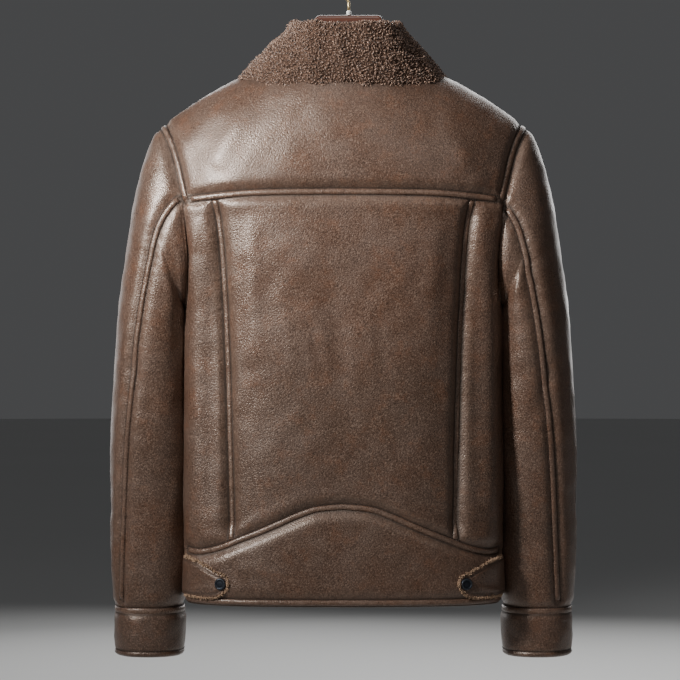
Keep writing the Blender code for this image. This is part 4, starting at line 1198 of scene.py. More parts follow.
def seam_shares(length, step=0.0042, start=True, end=True):
    """Shares of a length, close together beside the seams at its ends."""
    head = list(SEAM_STEPS) if start else [0.0]
    tail = [length - s for s in reversed(SEAM_STEPS)] if end else [length]
    count = max(2, int(round((tail[0] - head[-1]) / step)) + 1)
    return np.concatenate([head, np.linspace(head[-1], tail[0], count)[1:-1], tail]) / length


def armhole_shares(start, end, length, step=0.0042):
    """Shares of a height between two places round the armhole, closer together toward its top and foot."""
    count = int(round(length / step * 1.25))
    level = np.cos(np.radians(np.linspace(start, end, count + 1)))
    return (level - level[0]) / (level[-1] - level[0])


def joined_shares(*groups, apart=0.0011, length=0.1):
    every = np.unique(np.concatenate(groups))
    chosen = [every[0]]
    for share in every[1:-1]:
        if share - chosen[-1] > apart / length and every[-1] - share > apart / length * 0.5:
            chosen.append(share)
    return np.array([*chosen, every[-1]])


def at_x(x):
    return lambda z: turn_at(x, z)


def level(value):
    return lambda place: np.full(np.shape(place), value)


def panel_grid(sides, bands, across):
    """Turns and heights over a panel. Its columns run between two turns that depend on the height, and
    each band of its rows between two heights that depend on x."""
    z = np.full((sum(len(shares) for *_, shares in bands), len(across)), -0.5)
    for _ in range(20):
        start, end = (side(z) for side in sides)
        turn = start + (end - start) * across
        x = side_x(turn, z)
        rows, done = [], 0
        for low, high, shares in bands:
            part = x[done : done + len(shares)]
            rows.append(low(part) + (high(part) - low(part)) * shares[:, None])
            done += len(shares)
        z = np.concatenate(rows)
    return turn, z


def cut_size(points):
    """A grid's flat width, length and area, from its own surface."""
    across = np.linalg.norm(np.diff(points, axis=1), axis=2).sum(axis=1)
    down = np.linalg.norm(np.diff(points, axis=0), axis=2).sum(axis=0)
    sides = np.cross(points[1:, 1:] - points[:-1, :-1], points[1:, :-1] - points[:-1, 1:])
    area = np.linalg.norm(sides, axis=2).sum() / 2
    width, length = float(across.max()), float(down.max())
    return (width, length), float(min(area, width * length))


def rolled(points, normals, edge_distance, depth=0.0016, reach=0.0030):
    """The surface turned in toward an open edge."""
    t = 1 - np.clip(edge_distance / reach, 0, 1)
    return points - normals * (depth * (1 - np.sqrt(1 - t * t)))[..., None]


def painted_collar_shadow(points):
    """How much painted shadow darkens the yoke close under the collar's lower edge."""
    aside = np.abs(points[..., 0])
    edge = through([Seam(row.edge_x, row.edge_z) for row in NECK if row.around <= 90], aside).z
    below = np.maximum(edge - points[..., 2], 0)
    return 0.55 * np.exp(-below / 0.008) * (1 - ramp(aside, 0.125, 0.150))


def torso_panel(name, face, sides, bands, across, sizes, seams, pillow, hem=False):
    turn, z = panel_grid(sides, bands, across)
    points, normals = torso(face, turn, z)
    flat, area = cut_size(points)
    outer, groove, worn = sewn(points, normals, sizes, seams, pillow)
    # The yoke takes painted shadow under the collar, added to its seams' painted shade
    if name.startswith("back_yoke"):
        groove = np.clip(groove + painted_collar_shadow(points), 0, 1)
    if hem:
        outer = rolled(outer, normals, z - HEM_Z)
    obj = shell(name, outer, outer - normals * WALL, [leather(), lining()], groove=groove, worn=worn)
    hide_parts(name.removesuffix("_leather"))


def armhole_edges(face):
    """Where a face ends at its left and at its right armhole, as a turn that depends on the height."""
    return lambda z: armhole_turn(face, z), lambda z: math.pi - armhole_turn(face, z)


def make_back(sizes):
    edge, far_edge = armhole_edges(BACK)

    def left_seam(z):
        return turn_at(panel_x(z), z)

    def right_seam(z):
        return turn_at(-panel_x(z), z)

    rows = joined_shares(seam_shares(0.16, end=False), armhole_shares(YOKE_TURN, 0, 0.16), length=0.16)
    rows = ((yoke_z, top_z(BACK), rows),)
    across = seam_shares(0.50)
    seams = ("strip_yoke", "strip_armhole_left", "strip_armhole_right")
    torso_panel("back_yoke_leather", BACK, (edge, far_edge), rows, across, sizes, seams, YOKE_PILLOW)
    rows = ((band_z, yoke_z, seam_shares(0.42)),)
    across = seam_shares(0.32)
    seams = ("strip_yoke", "strip_band", "strip_panel_left", "strip_panel_right")
    sides = (left_seam, right_seam)
    torso_panel("back_centre_leather", BACK, sides, rows, across, sizes, seams, CENTRE_PILLOW)
    upper = joined_shares(
        armhole_shares(180, YOKE_TURN, 0.15), seam_shares(0.15, start=False), length=0.15
    )
    rows = (
        (band_z, level(UNDERARM_Z), seam_shares(0.30, end=False)[:-1]),
        (level(UNDERARM_Z), yoke_z, upper),
    )
    across = seam_shares(0.10, 0.0036)
    ends = ("strip_yoke", "strip_band")
    seams = (*ends, "strip_panel_left", "edge_0", "edge_3")
    sides = (edge, left_seam)
    torso_panel("back_side_left_leather", BACK, sides, rows, across, sizes, seams, SIDE_PILLOW)
    seams = (*ends, "strip_panel_right", "edge_4", "edge_7")
    sides = (right_seam, far_edge)
    torso_panel("back_side_right_leather", BACK, sides, rows, across, sizes, seams, SIDE_PILLOW)
    rows = ((level(HEM_Z), band_z, seam_shares(0.095)),)
    sides = (level(0.0), level(math.pi))
    seams = ("strip_band", "strip_hem_back", "edge_0", "edge_4")
    across = seam_shares(0.50)
    torso_panel("back_band_leather", BACK, sides, rows, across, sizes, seams, BAND_PILLOW, hem=True)


def front_bands():
    upper = armhole_shares(180, 0, 0.30, 0.0052)
    return (
        (level(HEM_Z), level(UNDERARM_Z), seam_shares(0.378, 0.0062, end=False)[:-1]),
        (level(UNDERARM_Z), top_z(FRONT), upper),
    )


def make_fronts(sizes):
    edge, far_edge = armhole_edges(FRONT)
    for side, across, sides in (
        ("left", seam_shares(0.27, 0.0062, end=False), (edge, at_x(0.0))),
        ("right", seam_shares(0.27, 0.0062, start=False), (at_x(0.0), far_edge)),
    ):
        seams = (f"strip_armhole_{side}", f"strip_hem_{side}")
        name = f"front_{side}_leather"
        torso_panel(name, FRONT, sides, front_bands(), across, sizes, seams, FRONT_PILLOW, hem=True)
    turn, z = panel_grid((at_x(PLACKET_HALF), at_x(-PLACKET_HALF)), front_bands(), seam_shares(0.056))
    points, normals = torso(FRONT, turn, z)
    flat, area = cut_size(points)
    x = points[..., 0]
    from_edge = PLACKET_HALF - np.abs(x)
    row = np.exp(-(((from_edge - PLACKET_ROW) / 0.0012) ** 2))
    lift = 0.0012 - 0.0007 * row + 0.0003 * unevenness(points, 0.03, 21)
    outer = points + normals * (WALL + lift)[..., None]
    outer = rolled(rolled(outer, normals, from_edge), normals, z - HEM_Z)
    inner = outer - normals * 0.0022
    # The stitched row is darkened with painted shade
    placket = shell("placket_leather", outer, inner, [leather(), lining()], groove=row * 0.7)
    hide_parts("front_placket")
    lines = []
    z = np.linspace(HEM_Z + 0.004, -0.208, 220)
    for way in (1, -1):
        points, normals = torso(FRONT, turn_at(np.full(220, way * (PLACKET_HALF - PLACKET_ROW)), z), z)
        lines.append(Line(points + normals * (WALL + 0.0009), normals, False))
    thread = stitches("stitching_placket", lines, sizes, kept("thread", make_thread))


def make_strips(sizes):
    for name, line in STRIPS.items():
        base = -sizes.seam_sink - 0.0004
        height = sizes.strip_height
        if "cuff" in name:
            base, height = -0.0016, sizes.strip_height * 0.5
        firm = 1 - 0.55 * ramp(-line.points[:, 2], 0.42, 0.66) if "sleeve" in name else 1.0
        strip = ridge(f"{name}_leather", line, base, height, sizes.strip_width, leather(), firm)
        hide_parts(name)
        aside = sizes.strip_width / 2 + 0.0004
        rows = [moved(line, aside * way, -sizes.seam_sink * 0.72) for way in (1, -1)]
        if "hem" in name:
            rows = [row for row in rows if row.points[:, 2].mean() > line.points[:, 2].mean()]
        thread = stitches(name.replace("strip", "stitching"), rows, sizes, kept("thread", make_thread))
        width, length = sizes.strip_width * 1.5, float(len(line.points) * LINE_STEP)


# Studs and tabs


def make_cap(name, node, base, outward, radius):
    """A press stud's cap: a rolled rim round a shallow dish with a raised middle."""
    profile = (
        (0.96, -0.0006), (1.00, 0.0004), (1.00, 0.0011), (0.97, 0.0018), (0.90, 0.0024), (0.80, 0.0026),
        (0.72, 0.0024), (0.67, 0.0019), (0.60, 0.0017), (0.44, 0.0019), (0.26, 0.0021), (0.10, 0.0022),
    )
    sides = 40
    outward = unit(outward)
    first = unit(np.cross(outward, (0, 0, 1)))
    second = np.cross(outward, first)
    angles = circle(sides)[:, None]
    around = first * np.cos(angles) + second * np.sin(angles)
    rings = [base + around * radius * r + outward * h for r, h in profile]
    points = np.concatenate([*rings, [base - outward * 0.0006], [base + outward * 0.0022]])
    faces = squares(len(profile), sides, 0, True)
    last, centre = (len(profile) - 1) * sides, len(profile) * sides
    for j in range(sides):
        after = (j + 1) % sides
        faces += [[centre, after, j], [centre + 1, last + j, last + after]]
    mesh = smooth_mesh(name, points + (COAT_SIDE_STEP, 0, 0), faces)
    worn = np.repeat([1.0 if 0.7 < r < 0.95 else 0.2 for r, _ in profile], sides)
    marked(mesh, worn=np.concatenate([worn, [0, 0.3]]))
    cap = finished(name, mesh, [kept("blackened metal", make_stud_metal)])
    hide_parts(node)


def tab_grid(columns, rows):
    """Places over the left hem tab, from its rounded tip to its root at the side seam."""
    tip = turn_at(TAB[0].x, TAB_STUD_Z)
    steps = 1 - (1 - np.linspace(0, 1, columns + 1)) ** 1.25
    turn = tip + (math.radians(TAB_ROOT_TURN) - tip) * (1 - np.cos(steps * math.pi / 2))
    x = side_x(np.maximum(turn, 0), TAB_STUD_Z)
    edge = through(TAB, np.clip(x, TAB[0].x, TAB[-1].x))
    v = np.linspace(0, 1, rows + 1)[:, None]
    z = edge.low_z + (edge.top_z - edge.low_z) * v
    return np.broadcast_to(turn, z.shape), z


def make_tabs(seed=31):
    turn, z = tab_grid(46, 22)
    points, normals = torso(BACK, turn, z)
    flat, area = cut_size(points)
    low, high = z[0], z[-1]
    from_edge = np.minimum(z - low, high - z)
    from_edge = np.minimum(from_edge, np.linalg.norm(points - points[11, 0], axis=2) + 0.002)
    full = 0.0010 * ramp(from_edge, 0.0, 0.010) + 0.0005 * unevenness(points, 0.035, 22)
    row = np.exp(-(((from_edge - TAB_ROW) / 0.0011) ** 2)) * (turn > 0.12)
    x = points[..., 0]
    beside_stud = z - TAB_STUD_Z + 0.3 * (x - TAB_STUD_X)
    drag = 0.0010 * np.exp(-((beside_stud / 0.004) ** 2)) * ramp(x, 0.164, 0.18)
    outer = points + normals * (0.0036 + full + drag - 0.0006 * row)[..., None]
    outer = rolled(outer, normals, from_edge, 0.0012, 0.0026)
    inner = points + normals * 0.0009
    rng = np.random.default_rng(seed)
    rim, rim_normals = (np.concatenate([grid[0], grid[-1], grid[:, 0]]) for grid in (points, normals))
    middle = points[11, 18]
    for side, way in (("left", 1), ("right", -1)):
        flip = np.array((way, 1, 1))
        name = f"hem_tab_{side}_leather"
        # The stitched row is darkened with painted shade
        tab = shell(name, outer * flip, inner * flip, [leather(), lining()], groove=row * 0.75)
        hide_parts(f"hem_tab_{side}")
        base, outward = torso(BACK, turn_at(TAB_STUD_X, TAB_STUD_Z), TAB_STUD_Z)
        base_here = (base + outward * 0.0044) * flip
        make_cap(f"tab_cap_{side}", f"tab_stud_{side}", base_here, outward * flip, STUD_RADIUS * 0.92)
        at = rng.integers(0, len(rim), RAW_FIBRES)
        root = rim[at] + rng.normal(0, 0.0007, (RAW_FIBRES, 3))
        root = root + rim_normals[at] * rng.uniform(0.0006, 0.0044, (RAW_FIBRES, 1))
        away = unit(unit(rim[at] - middle) + 0.40 * rng.normal(size=(RAW_FIBRES, 3)))
        paths = curl_paths(rng, root, away, rng.uniform(0.0008, 0.0017, RAW_FIBRES))
        root_x = root[:, 0] < 0.2065
        fibres = tubes(
            f"raw_edge_{side}",
            (paths[root_x] * flip) + (COAT_SIDE_STEP, 0, 0),
            np.linspace(0.00062, 0.00040, paths.shape[1]),
            CURL_SIDES,
            [kept("raw pile edge", make_raw_edge)],
            np.linspace(0.3, 1, paths.shape[1]),
        )


def make_front_caps():
    stud_z = np.linspace(HEM_Z + 0.032, float(top_z(FRONT)(0.0)) - 0.075, FRONT_STUDS)
    places, outward = torso(FRONT, turn_at(0.0, stud_z), stud_z)
    for i in range(FRONT_STUDS):
        base = places[i] + outward[i] * (WALL + 0.0010)
        make_cap(f"front_cap_{i + 1}", f"front_stud_{i + 1}", base, outward[i], STUD_RADIUS)


# Sleeves and cuffs


def sleeve_panel(name, sides, across, stations, sizes, mirror):
    start, end = (side(stations)[:, None] for side in sides)
    turn = start + (end - start) * across
    station = np.broadcast_to(stations[:, None], turn.shape)
    points, normals = sleeve(turn, station)
    _, body_normals = armhole(turn[0])
    fade = (1 - ramp(station, 0.0, 0.35))[..., None]
    normals = unit(normals * (1 - fade) + body_normals * fade)
    flat, area = cut_size(points)
    if mirror:
        points, normals = mirrored(points), mirrored(normals)
    side = "right" if mirror else "left"
    front_seam = "edge_6" if mirror else "edge_2"
    seams = (f"strip_sleeve_{side}", front_seam, f"strip_cuff_{side}", f"strip_armhole_{side}")
    outer, groove, worn = sewn(points, normals, sizes, seams, SLEEVE_PILLOW)
    firm = 1 - 0.55 * ramp(station, 3.5, 8.0)
    inner = outer - normals * WALL
    groove, worn = groove * firm, worn * firm
    obj = shell(f"{name}_leather", outer, inner, [leather(), lining()], groove=groove, worn=worn)
    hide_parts(name)


def make_sleeves(sizes):
    seam = math.radians(SLEEVE_FRONT_SEAM)
    stretches = ((0, 1, 17), (1, 5, 59), (5, 9.75, 91), (9.75, 10, 8))
    stations = [np.linspace(start, end, count + 1)[:-1] for start, end, count in stretches]
    stations = np.concatenate([*stations, [10]])
    for side in ("left", "right"):
        back = back_seam(side)
        top, under = (level(seam - 2 * math.pi), back), (back, level(seam))
        sleeve_panel(f"top_sleeve_{side}", top, seam_shares(0.19), stations, sizes, side == "right")
        sleeve_panel(f"under_sleeve_{side}", under, seam_shares(0.17), stations, sizes, side == "right")


def make_cuffs(sizes):
    turn = np.radians(np.arange(0, 360, 3.6))
    stretches = ((0, 0.014, 0.0014), (0.014, 0.048, 0.0034), (0.048, 0.0601, 0.0011))
    drop = np.concatenate([np.arange(*stretch) for stretch in stretches])
    turn, down = np.meshgrid(turn, np.append(drop, CUFF_TOP_Z - CUFF_LOW_Z))
    points = cuff_ring(turn, CUFF_TOP_Z - down, CUFF_PROUD)
    centre = np.stack(np.broadcast_arrays(CUFF_CENTRE_X, CUFF_MIDDLE_Y, points[..., 2]), axis=-1)
    normals = unit((points - centre) * (1 / CUFF_HALF_WIDTH, 1 / CUFF_HALF_DEPTH, 0))
    height = CUFF_TOP_Z - CUFF_LOW_Z
    flat = (float(np.linalg.norm(np.diff(points[0], axis=0), axis=1).sum()) * 1.01, height)
    row = np.exp(-(((height - down - CUFF_ROW) / 0.0013) ** 2))
    full = 0.0016 * np.sin(np.clip(down / (height - CUFF_ROW), 0, 1) * math.pi) ** 0.7
    full = full + 0.0008 * np.exp(-(((height - down - 0.0035) / 0.0022) ** 2)) - 0.0007 * row
    full = full + 0.0005 * unevenness(points, 0.06, 23) + 0.0003 * unevenness(points, 0.022, 24)
    sink = sizes.seam_sink * (1 - ramp(down, 0.003, 0.012)) * 0.6
    outer = rolled(points + normals * (full - sink)[..., None], normals, height - down, 0.0021, 0.0034)
    # Painted shade in the stitched row and in the groove under the cuff's strip
    groove = np.clip(0.75 * row + np.exp(-(((down - 0.0048) / 0.0014) ** 2)), 0, 1)
    taper = cuff_ring(turn[0], CUFF_LOW_Z + CUFF_ROW, CUFF_PROUD)
    line = moved(Line(taper, normals[0], True), 0, 0.0001)
    inner = outer - normals * 0.0030
    finishes = [leather(), lining()]
    for side, flip in (("left", (1, 1, 1)), ("right", (-1, 1, 1))):
        name = f"cuff_{side}_leather"
        cuff = shell(name, outer * flip, inner * flip, finishes, ring=True, groove=groove)
        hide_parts(f"cuff_{side}")
        row_line = line if side == "left" else other_side(line)
        thread = stitches(f"stitching_cuff_hem_{side}", [row_line], sizes, kept("thread", make_thread))


# Collar


def collar_ends(around):
    """The neckline and the collar's outer edge at a place round the neck, and the torso's normal there."""
    row = through(NECK, abs(around))
    face = BACK if abs(around) <= 90 else FRONT
    neck, _ = torso(face, turn_at(row.neck_x, row.neck_z), row.neck_z)
    edge, normal = torso(face, turn_at(row.edge_x, row.edge_z), row.edge_z)
    return row, neck, edge, normal


def collar_lines(around, depth):
    """The collar's pile face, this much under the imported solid's, and its leather face, at one place."""
    place = abs(around)
    row, neck, edge, edge_normal = collar_ends(place)
    along = (collar_ends(place + 2)[1] - collar_ends(max(place - 2, 0))[1]) * (1, 1, 0)
    if place < 2:
        along = np.array((1.0, 0, 0))
    up = np.array((0, 0, 1.0))
    out = unit(np.cross(up, along))
    out = out * np.sign(out @ (neck * (1, 1, 0)))
    neck = neck - out * (COLLAR_WALL / 2 + COLLAR_NECK_STEP) - up * COLLAR_DROP
    edge = edge + edge_normal * (COLLAR_EDGE_WALL / 2 + COLLAR_LIFT)
    roll = np.array((row.roll_x, row.roll_y, row.roll_z)) - up * (COLLAR_ROLL + COLLAR_WALL / 2)
    line = [neck, neck * 0.45 + (roll - out * COLLAR_ROLL) * 0.55]
    for angle in np.radians((180, 135, 90, 45, 0)):
        line.append(roll + out * COLLAR_ROLL * math.cos(angle) + up * COLLAR_ROLL * math.sin(angle))
    start = line[-1]
    belly = (out + edge_normal) * COLLAR_BELLY
    line += [start + (edge - start) * t + belly * 4 * t * (1 - t) for t in (0.33, 0.66, 1.0)]
    line = np.array(line)
    ahead = np.gradient(line, axis=0)
    flat = unit(np.stack([ahead @ out, ahead @ up], axis=-1))
    normal = up * flat[:, :1] - out * flat[:, 1:]
    normal[-1] = edge_normal
    half = np.full(len(line), COLLAR_WALL / 2)
    half[-2:] = ((COLLAR_WALL + COLLAR_EDGE_WALL) / 4, COLLAR_EDGE_WALL / 2)
    lift = np.clip((line[:, 2] - neck[2]) / (row.roll_z - neck[2]), 0, 1)
    line[:, 0] -= COLLAR_LEAN * lift * (-1 if around < 0 else 1)
    return line + normal * (half - depth)[:, None], line - normal * half[:, None], normal


def fine_line(points, count):
    """A smooth line of this many points through some."""
    run = np.concatenate([[0], np.cumsum(np.linalg.norm(np.diff(points, axis=0), axis=1))])
    stop = namedtuple("Stop", "run x y z")
    at = through([stop(r, *p) for r, p in zip(run, points)], np.linspace(0, run[-1], count))
    return np.stack([at.x, at.y, at.z], axis=1)


def collar_faces(depth, stations=150, steps=46):
    """The collar's pile face and leather face as two grids, from neckline to outer edge."""
    pile, leather_side = [], []
    for around in np.linspace(-COLLAR_END, COLLAR_END, stations):
        outer, inner, _ = collar_lines(around, depth)
        flip = (-1 if around < 0 else 1, 1, 1)
        pile.append(fine_line(outer, steps) * flip)
        leather_side.append(fine_line(inner, steps) * flip)
    pile, leather_side = np.array(pile), np.array(leather_side)
    across, down = np.gradient(pile, axis=0), np.gradient(pile, axis=1)
    normals = unit(np.cross(across, down))
    normals = normals * np.sign(np.sum(normals * (pile - leather_side), axis=-1, keepdims=True))
    swell = 0.0012 * unevenness(pile, 0.045, 41) + 0.0006 * unevenness(pile, 0.018, 42)
    back = (pile[..., 1] > 0) & (np.arange(steps) > steps * 0.5)
    swell = swell + creased(COLLAR_CREASES, pile[..., 0], pile[..., 2]) * back
    return pile + normals * swell[..., None], leather_side, normals


def curl_paths(rng, root, outward, radius, steps=len(CURL_TIPS)):
    """One curled lock from each root: it rises, turns over and comes back to the pile."""
    count = len(root)
    side = unit(np.cross(outward, rng.normal(size=(count, 3))))
    third = np.cross(outward, side)
    angle = np.linspace(-0.7, 1.0, steps)[None] * rng.uniform(2.6, 4.0, (count, 1))
    angle = angle + rng.uniform(-0.5, 0.4, (count, 1))
    share = np.linspace(0, 1, steps)[None, :, None]
    drift = third[:, None] * share * (radius * rng.uniform(-1.9, 1.9, count))[:, None, None]
    bend = side[:, None] * np.sin(angle)[..., None] - outward[:, None] * np.cos(angle)[..., None] * 0.85
    return root[:, None] + drift + bend * radius[:, None, None] + (outward * radius[:, None] * 0.5)[:, None]


def scattered(rng, grid, normals, spacing):
    """Places over a grid, no two closer together than the spacing."""
    sides = np.cross(grid[1:, 1:] - grid[:-1, :-1], grid[1:, :-1] - grid[:-1, 1:])
    area = np.linalg.norm(sides, axis=2) / 2
    count = int(area.sum() / spacing**2 * 3.2)
    cell = rng.choice(area.size, count, p=(area / area.sum()).ravel())
    i, j = np.unravel_index(cell, area.shape)
    a, b = rng.uniform(size=(2, count, 1))
    places = grid[i, j] * (1 - a) * (1 - b) + grid[i + 1, j] * a * (1 - b)
    places = places + grid[i, j + 1] * (1 - a) * b + grid[i + 1, j + 1] * a * b
    taken, chosen = {}, []
    for index, key in enumerate(np.floor(places / spacing).astype(int).tolist()):
        near = [
            other
            for dx in (-1, 0, 1)
            for dy in (-1, 0, 1)
            for dz in (-1, 0, 1)
            for other in taken.get((key[0] + dx, key[1] + dy, key[2] + dz), ())
        ]
        if all(np.sum((places[index] - places[other]) ** 2) > spacing**2 for other in near):
            taken.setdefault(tuple(key), []).append(index)
            chosen.append(index)
    return places[chosen], normals[i[chosen], j[chosen]]


def make_collar(sizes, seed=51):
    pile, leather_side, normals = collar_faces(PILE_DEPTH)
    flat, area = cut_size(pile)
    step = np.array((COAT_SIDE_STEP, 0, 0))
    finishes = [kept("pile ground", make_pile_ground), leather()]
    body = shell("collar_ground", pile, leather_side, finishes)
    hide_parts("collar")
    rng = np.random.default_rng(seed)
    rim = np.linspace(0, 1, 5)[None, :, None]
    edge = pile[:, -1:] * (1 - rim) + leather_side[:, -1:] * rim
    edge = edge + unit(pile[:, -1:] - pile[:, -3:-2]) * 0.0012
    edge_normals = np.broadcast_to(unit(pile[:, -1:] - pile[:, -4:-3]), edge.shape)
    ends = [(pile[i], leather_side[i], pile[i] - pile[i - 1 if i else 1]) for i in (0, -1)]
    grids = [(pile, normals), (edge, edge_normals)]
    for near, far, way in ends:
        face = near[None] * (1 - rim.reshape(-1, 1, 1)) + far[None] * rim.reshape(-1, 1, 1)
        grids.append((face, np.broadcast_to(unit(way), face.shape)))
    roots, ways = [], []
    for grid, way in grids:
        places, outward = scattered(rng, grid, way, sizes.curl_spacing)
        roots.append(places)
        ways.append(outward)
    roots, ways = np.concatenate(roots) + step, np.concatenate(ways)
    order = rng.permutation(len(roots))
    roots, ways = roots[order], ways[order]
    radius = sizes.curl_radius * rng.uniform(0.72, 1.28, len(roots))
    ways = unit(ways + 0.25 * rng.normal(size=ways.shape))
    paths = curl_paths(rng, roots, ways, radius)
    for number, part in enumerate(np.array_split(np.arange(len(roots)), 4)):
        curls = tubes(
            f"collar_curls_{number + 1}",
            paths[part],
            np.array(CURL_THICKNESS) * sizes.curl_radius * 0.56,
            CURL_SIDES,
            [kept("pile curls", make_curls)],
            np.array(CURL_TIPS),
        )


# Hanger


def rounded(name, rings, finish):
    """A smooth piece through rings of points, closed at both ends."""
    count, sides = rings.shape[:2]
    faces = squares(count, sides, 0, True) + round_ends(count, sides)
    return finished(name, smooth_mesh(name, rings, faces), [finish])


def make_hanger():
    rows = HANGER
    half = np.concatenate([np.linspace(0, 0.050, 40), np.linspace(0.052, rows[-1].x, 90)])
    x = np.concatenate([-half[:0:-1], half])
    at = through(rows, np.abs(x))
    closing = np.sqrt(np.clip((rows[-1].x + 0.0004 - np.abs(x)) / 0.012, 0, 1))
    closing = np.where(closing < 1, np.sqrt(1 - (1 - closing**2) ** 2), 1)
    angle = circle(28)
    reach = (at.top_z - at.low_z)[:, None] / 2 * closing[:, None]
    thick = at.half_thickness[:, None] * closing[:, None]
    y = thick * power(np.cos(angle), 0.72)
    z = (at.top_z + at.low_z)[:, None] / 2 + reach * power(np.sin(angle), 0.55)
    points = np.stack([np.broadcast_to(x[:, None], y.shape), y, z], axis=-1)
    wood = rounded("hanger_wood", points, kept("lacquered wood", make_wood))
    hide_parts("hanger")


def lathe(name, profile, finish):
    """A round piece on the hook's axis."""
    angle = circle(32)
    around = np.stack([np.cos(angle), np.sin(angle), 0 * angle], axis=1)
    piece = rounded(name, np.stack([around * r + (0, 0, z) for r, z in profile]), finish)


def make_hook():
    top = HANGER[0].top_z + 0.0003
    centre_z = -(HOOK_RADIUS - WIRE)
    bulb_z = top + BULB
    ball = [(BULB * math.sin(a), bulb_z - BULB * math.cos(a)) for a in np.linspace(0.5, 2.6, 14)]
    profile = [(0.0034, top - 0.0004), (0.0036, top + 0.0006), *ball]
    lathe("hook_ball", profile, kept("pearl enamel", make_pearl))
    line = [(0, bulb_z + 0.001), (0, -0.0440), (0, -0.0395), (0.0008, -0.0365), (0.0040, -0.0331)]
    for turned in range(-52, 206, 6):
        a = math.radians(turned)
        line.append((HOOK_RADIUS * math.cos(a), centre_z + HOOK_RADIUS * math.sin(a)))
    line = np.array([(x, 0, z) for x, z in line], float)
    ahead = unit(line[-1] - line[-2])
    tip = np.array(WIRE_TIP)
    radius = np.concatenate([np.full(len(line), WIRE), tip[:, 1] * WIRE])
    line = np.concatenate([line, line[-1] + ahead * tip[:, :1]])
    ahead = unit(np.gradient(line, axis=0))
    angle = circle(16)
    aside = np.array((0, 1.0, 0))
    second = np.cross(ahead, aside)
    points = line[:, None] + radius[:, None, None] * (
        aside * np.cos(angle)[None, :, None] + second[:, None] * np.sin(angle)[None, :, None]
    )
    wire = rounded("hook_wire", points, kept("brass wire", make_wire))
    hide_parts("hanger_hook")


# Stage


def lamp(name, at, aim, size, watts, spread):
    light = bpy.data.lights.new(name, "AREA")
    light.shape = "RECTANGLE"
    light.size, light.size_y = size
    light.energy = watts
    light.spread = math.radians(spread)
    obj = bpy.data.objects.new(name, light)
    obj.location = at
    obj.rotation_euler = (Vector(aim) - Vector(at)).to_track_quat("-Z", "Y").to_euler()
    bpy.context.scene.collection.objects.link(obj)


def make_stage():
    mesh = bpy.data.meshes.new("floor")
    angle = circle(96)
    ring = np.stack([np.cos(angle), np.sin(angle), 0 * angle], axis=1) * FLOOR_RADIUS + (0, 0, FLOOR_Z)
    mesh.from_pydata(ring.tolist(), [], [list(range(len(ring)))])
    floor = bpy.data.objects.new("floor", mesh)
    mesh.materials.append(kept("studio floor", make_floor))
    bpy.context.scene.collection.objects.link(floor)
    for row in LAMPS:
        at, aim = (row.x, row.y, row.z), (row.aim_x, 0, row.aim_z)
        lamp(row.name, at, aim, (row.width, row.height), row.watts, row.spread)
    world = bpy.data.worlds.new("studio")
    world.use_nodes = True
    world.node_tree.nodes["Background"].inputs["Color"].default_value = (0.80, 0.81, 0.83, 1)
    world.node_tree.nodes["Background"].inputs["Strength"].default_value = WORLD_LIGHT
    bpy.context.scene.world = world
    camera = bpy.data.cameras.new("camera")
    camera.sensor_width = 36
    camera.lens = CAMERA_LENS
    obj = bpy.data.objects.new("camera", camera)
    obj.location = CAMERA_PLACE
    obj.rotation_euler = (math.radians(90), 0, math.radians(180))
    bpy.context.scene.collection.objects.link(obj)
    bpy.context.scene.camera = obj


# The add-on


def length_property(name, description, default, least=0.0):
    return bpy.props.FloatProperty(
        name=name, description=description, default=default, min=least, unit="LENGTH"
    )


def colour_property(name, description, default):
    return bpy.props.FloatVectorProperty(
        name=name, description=description, default=default, subtype="COLOR", size=3, min=0, max=1
    )


class JACKET_PG_sizes(bpy.types.PropertyGroup):
    """Sizes of the jacket's sewing and pile."""

    strip_width: length_property("Strip width", "Width of a raised seam strip", 0.0082, 0.004)
    strip_height: length_property("Strip height", "How far a strip's top stands off the panels", 0.0008)
    seam_sink: length_property("Seam sink", "How far the panels are pulled in along a strip", 0.0019)
    fullness: length_property("Fullness", "How far the panels puff up beside a strip", 0.0010)
    stitch_pitch: length_property("Stitch pitch", "From one stitch to the next", 0.0036, 0.002)
    stitch_length: length_property("Stitch length", "Length of one stitch", 0.0029, 0.001)
    curl_spacing: length_property("Curl spacing", "Least distance between two curls", 0.00252, 0.002)
    curl_radius: length_property("Curl radius", "Radius that a lock of pile curls to", 0.00134)


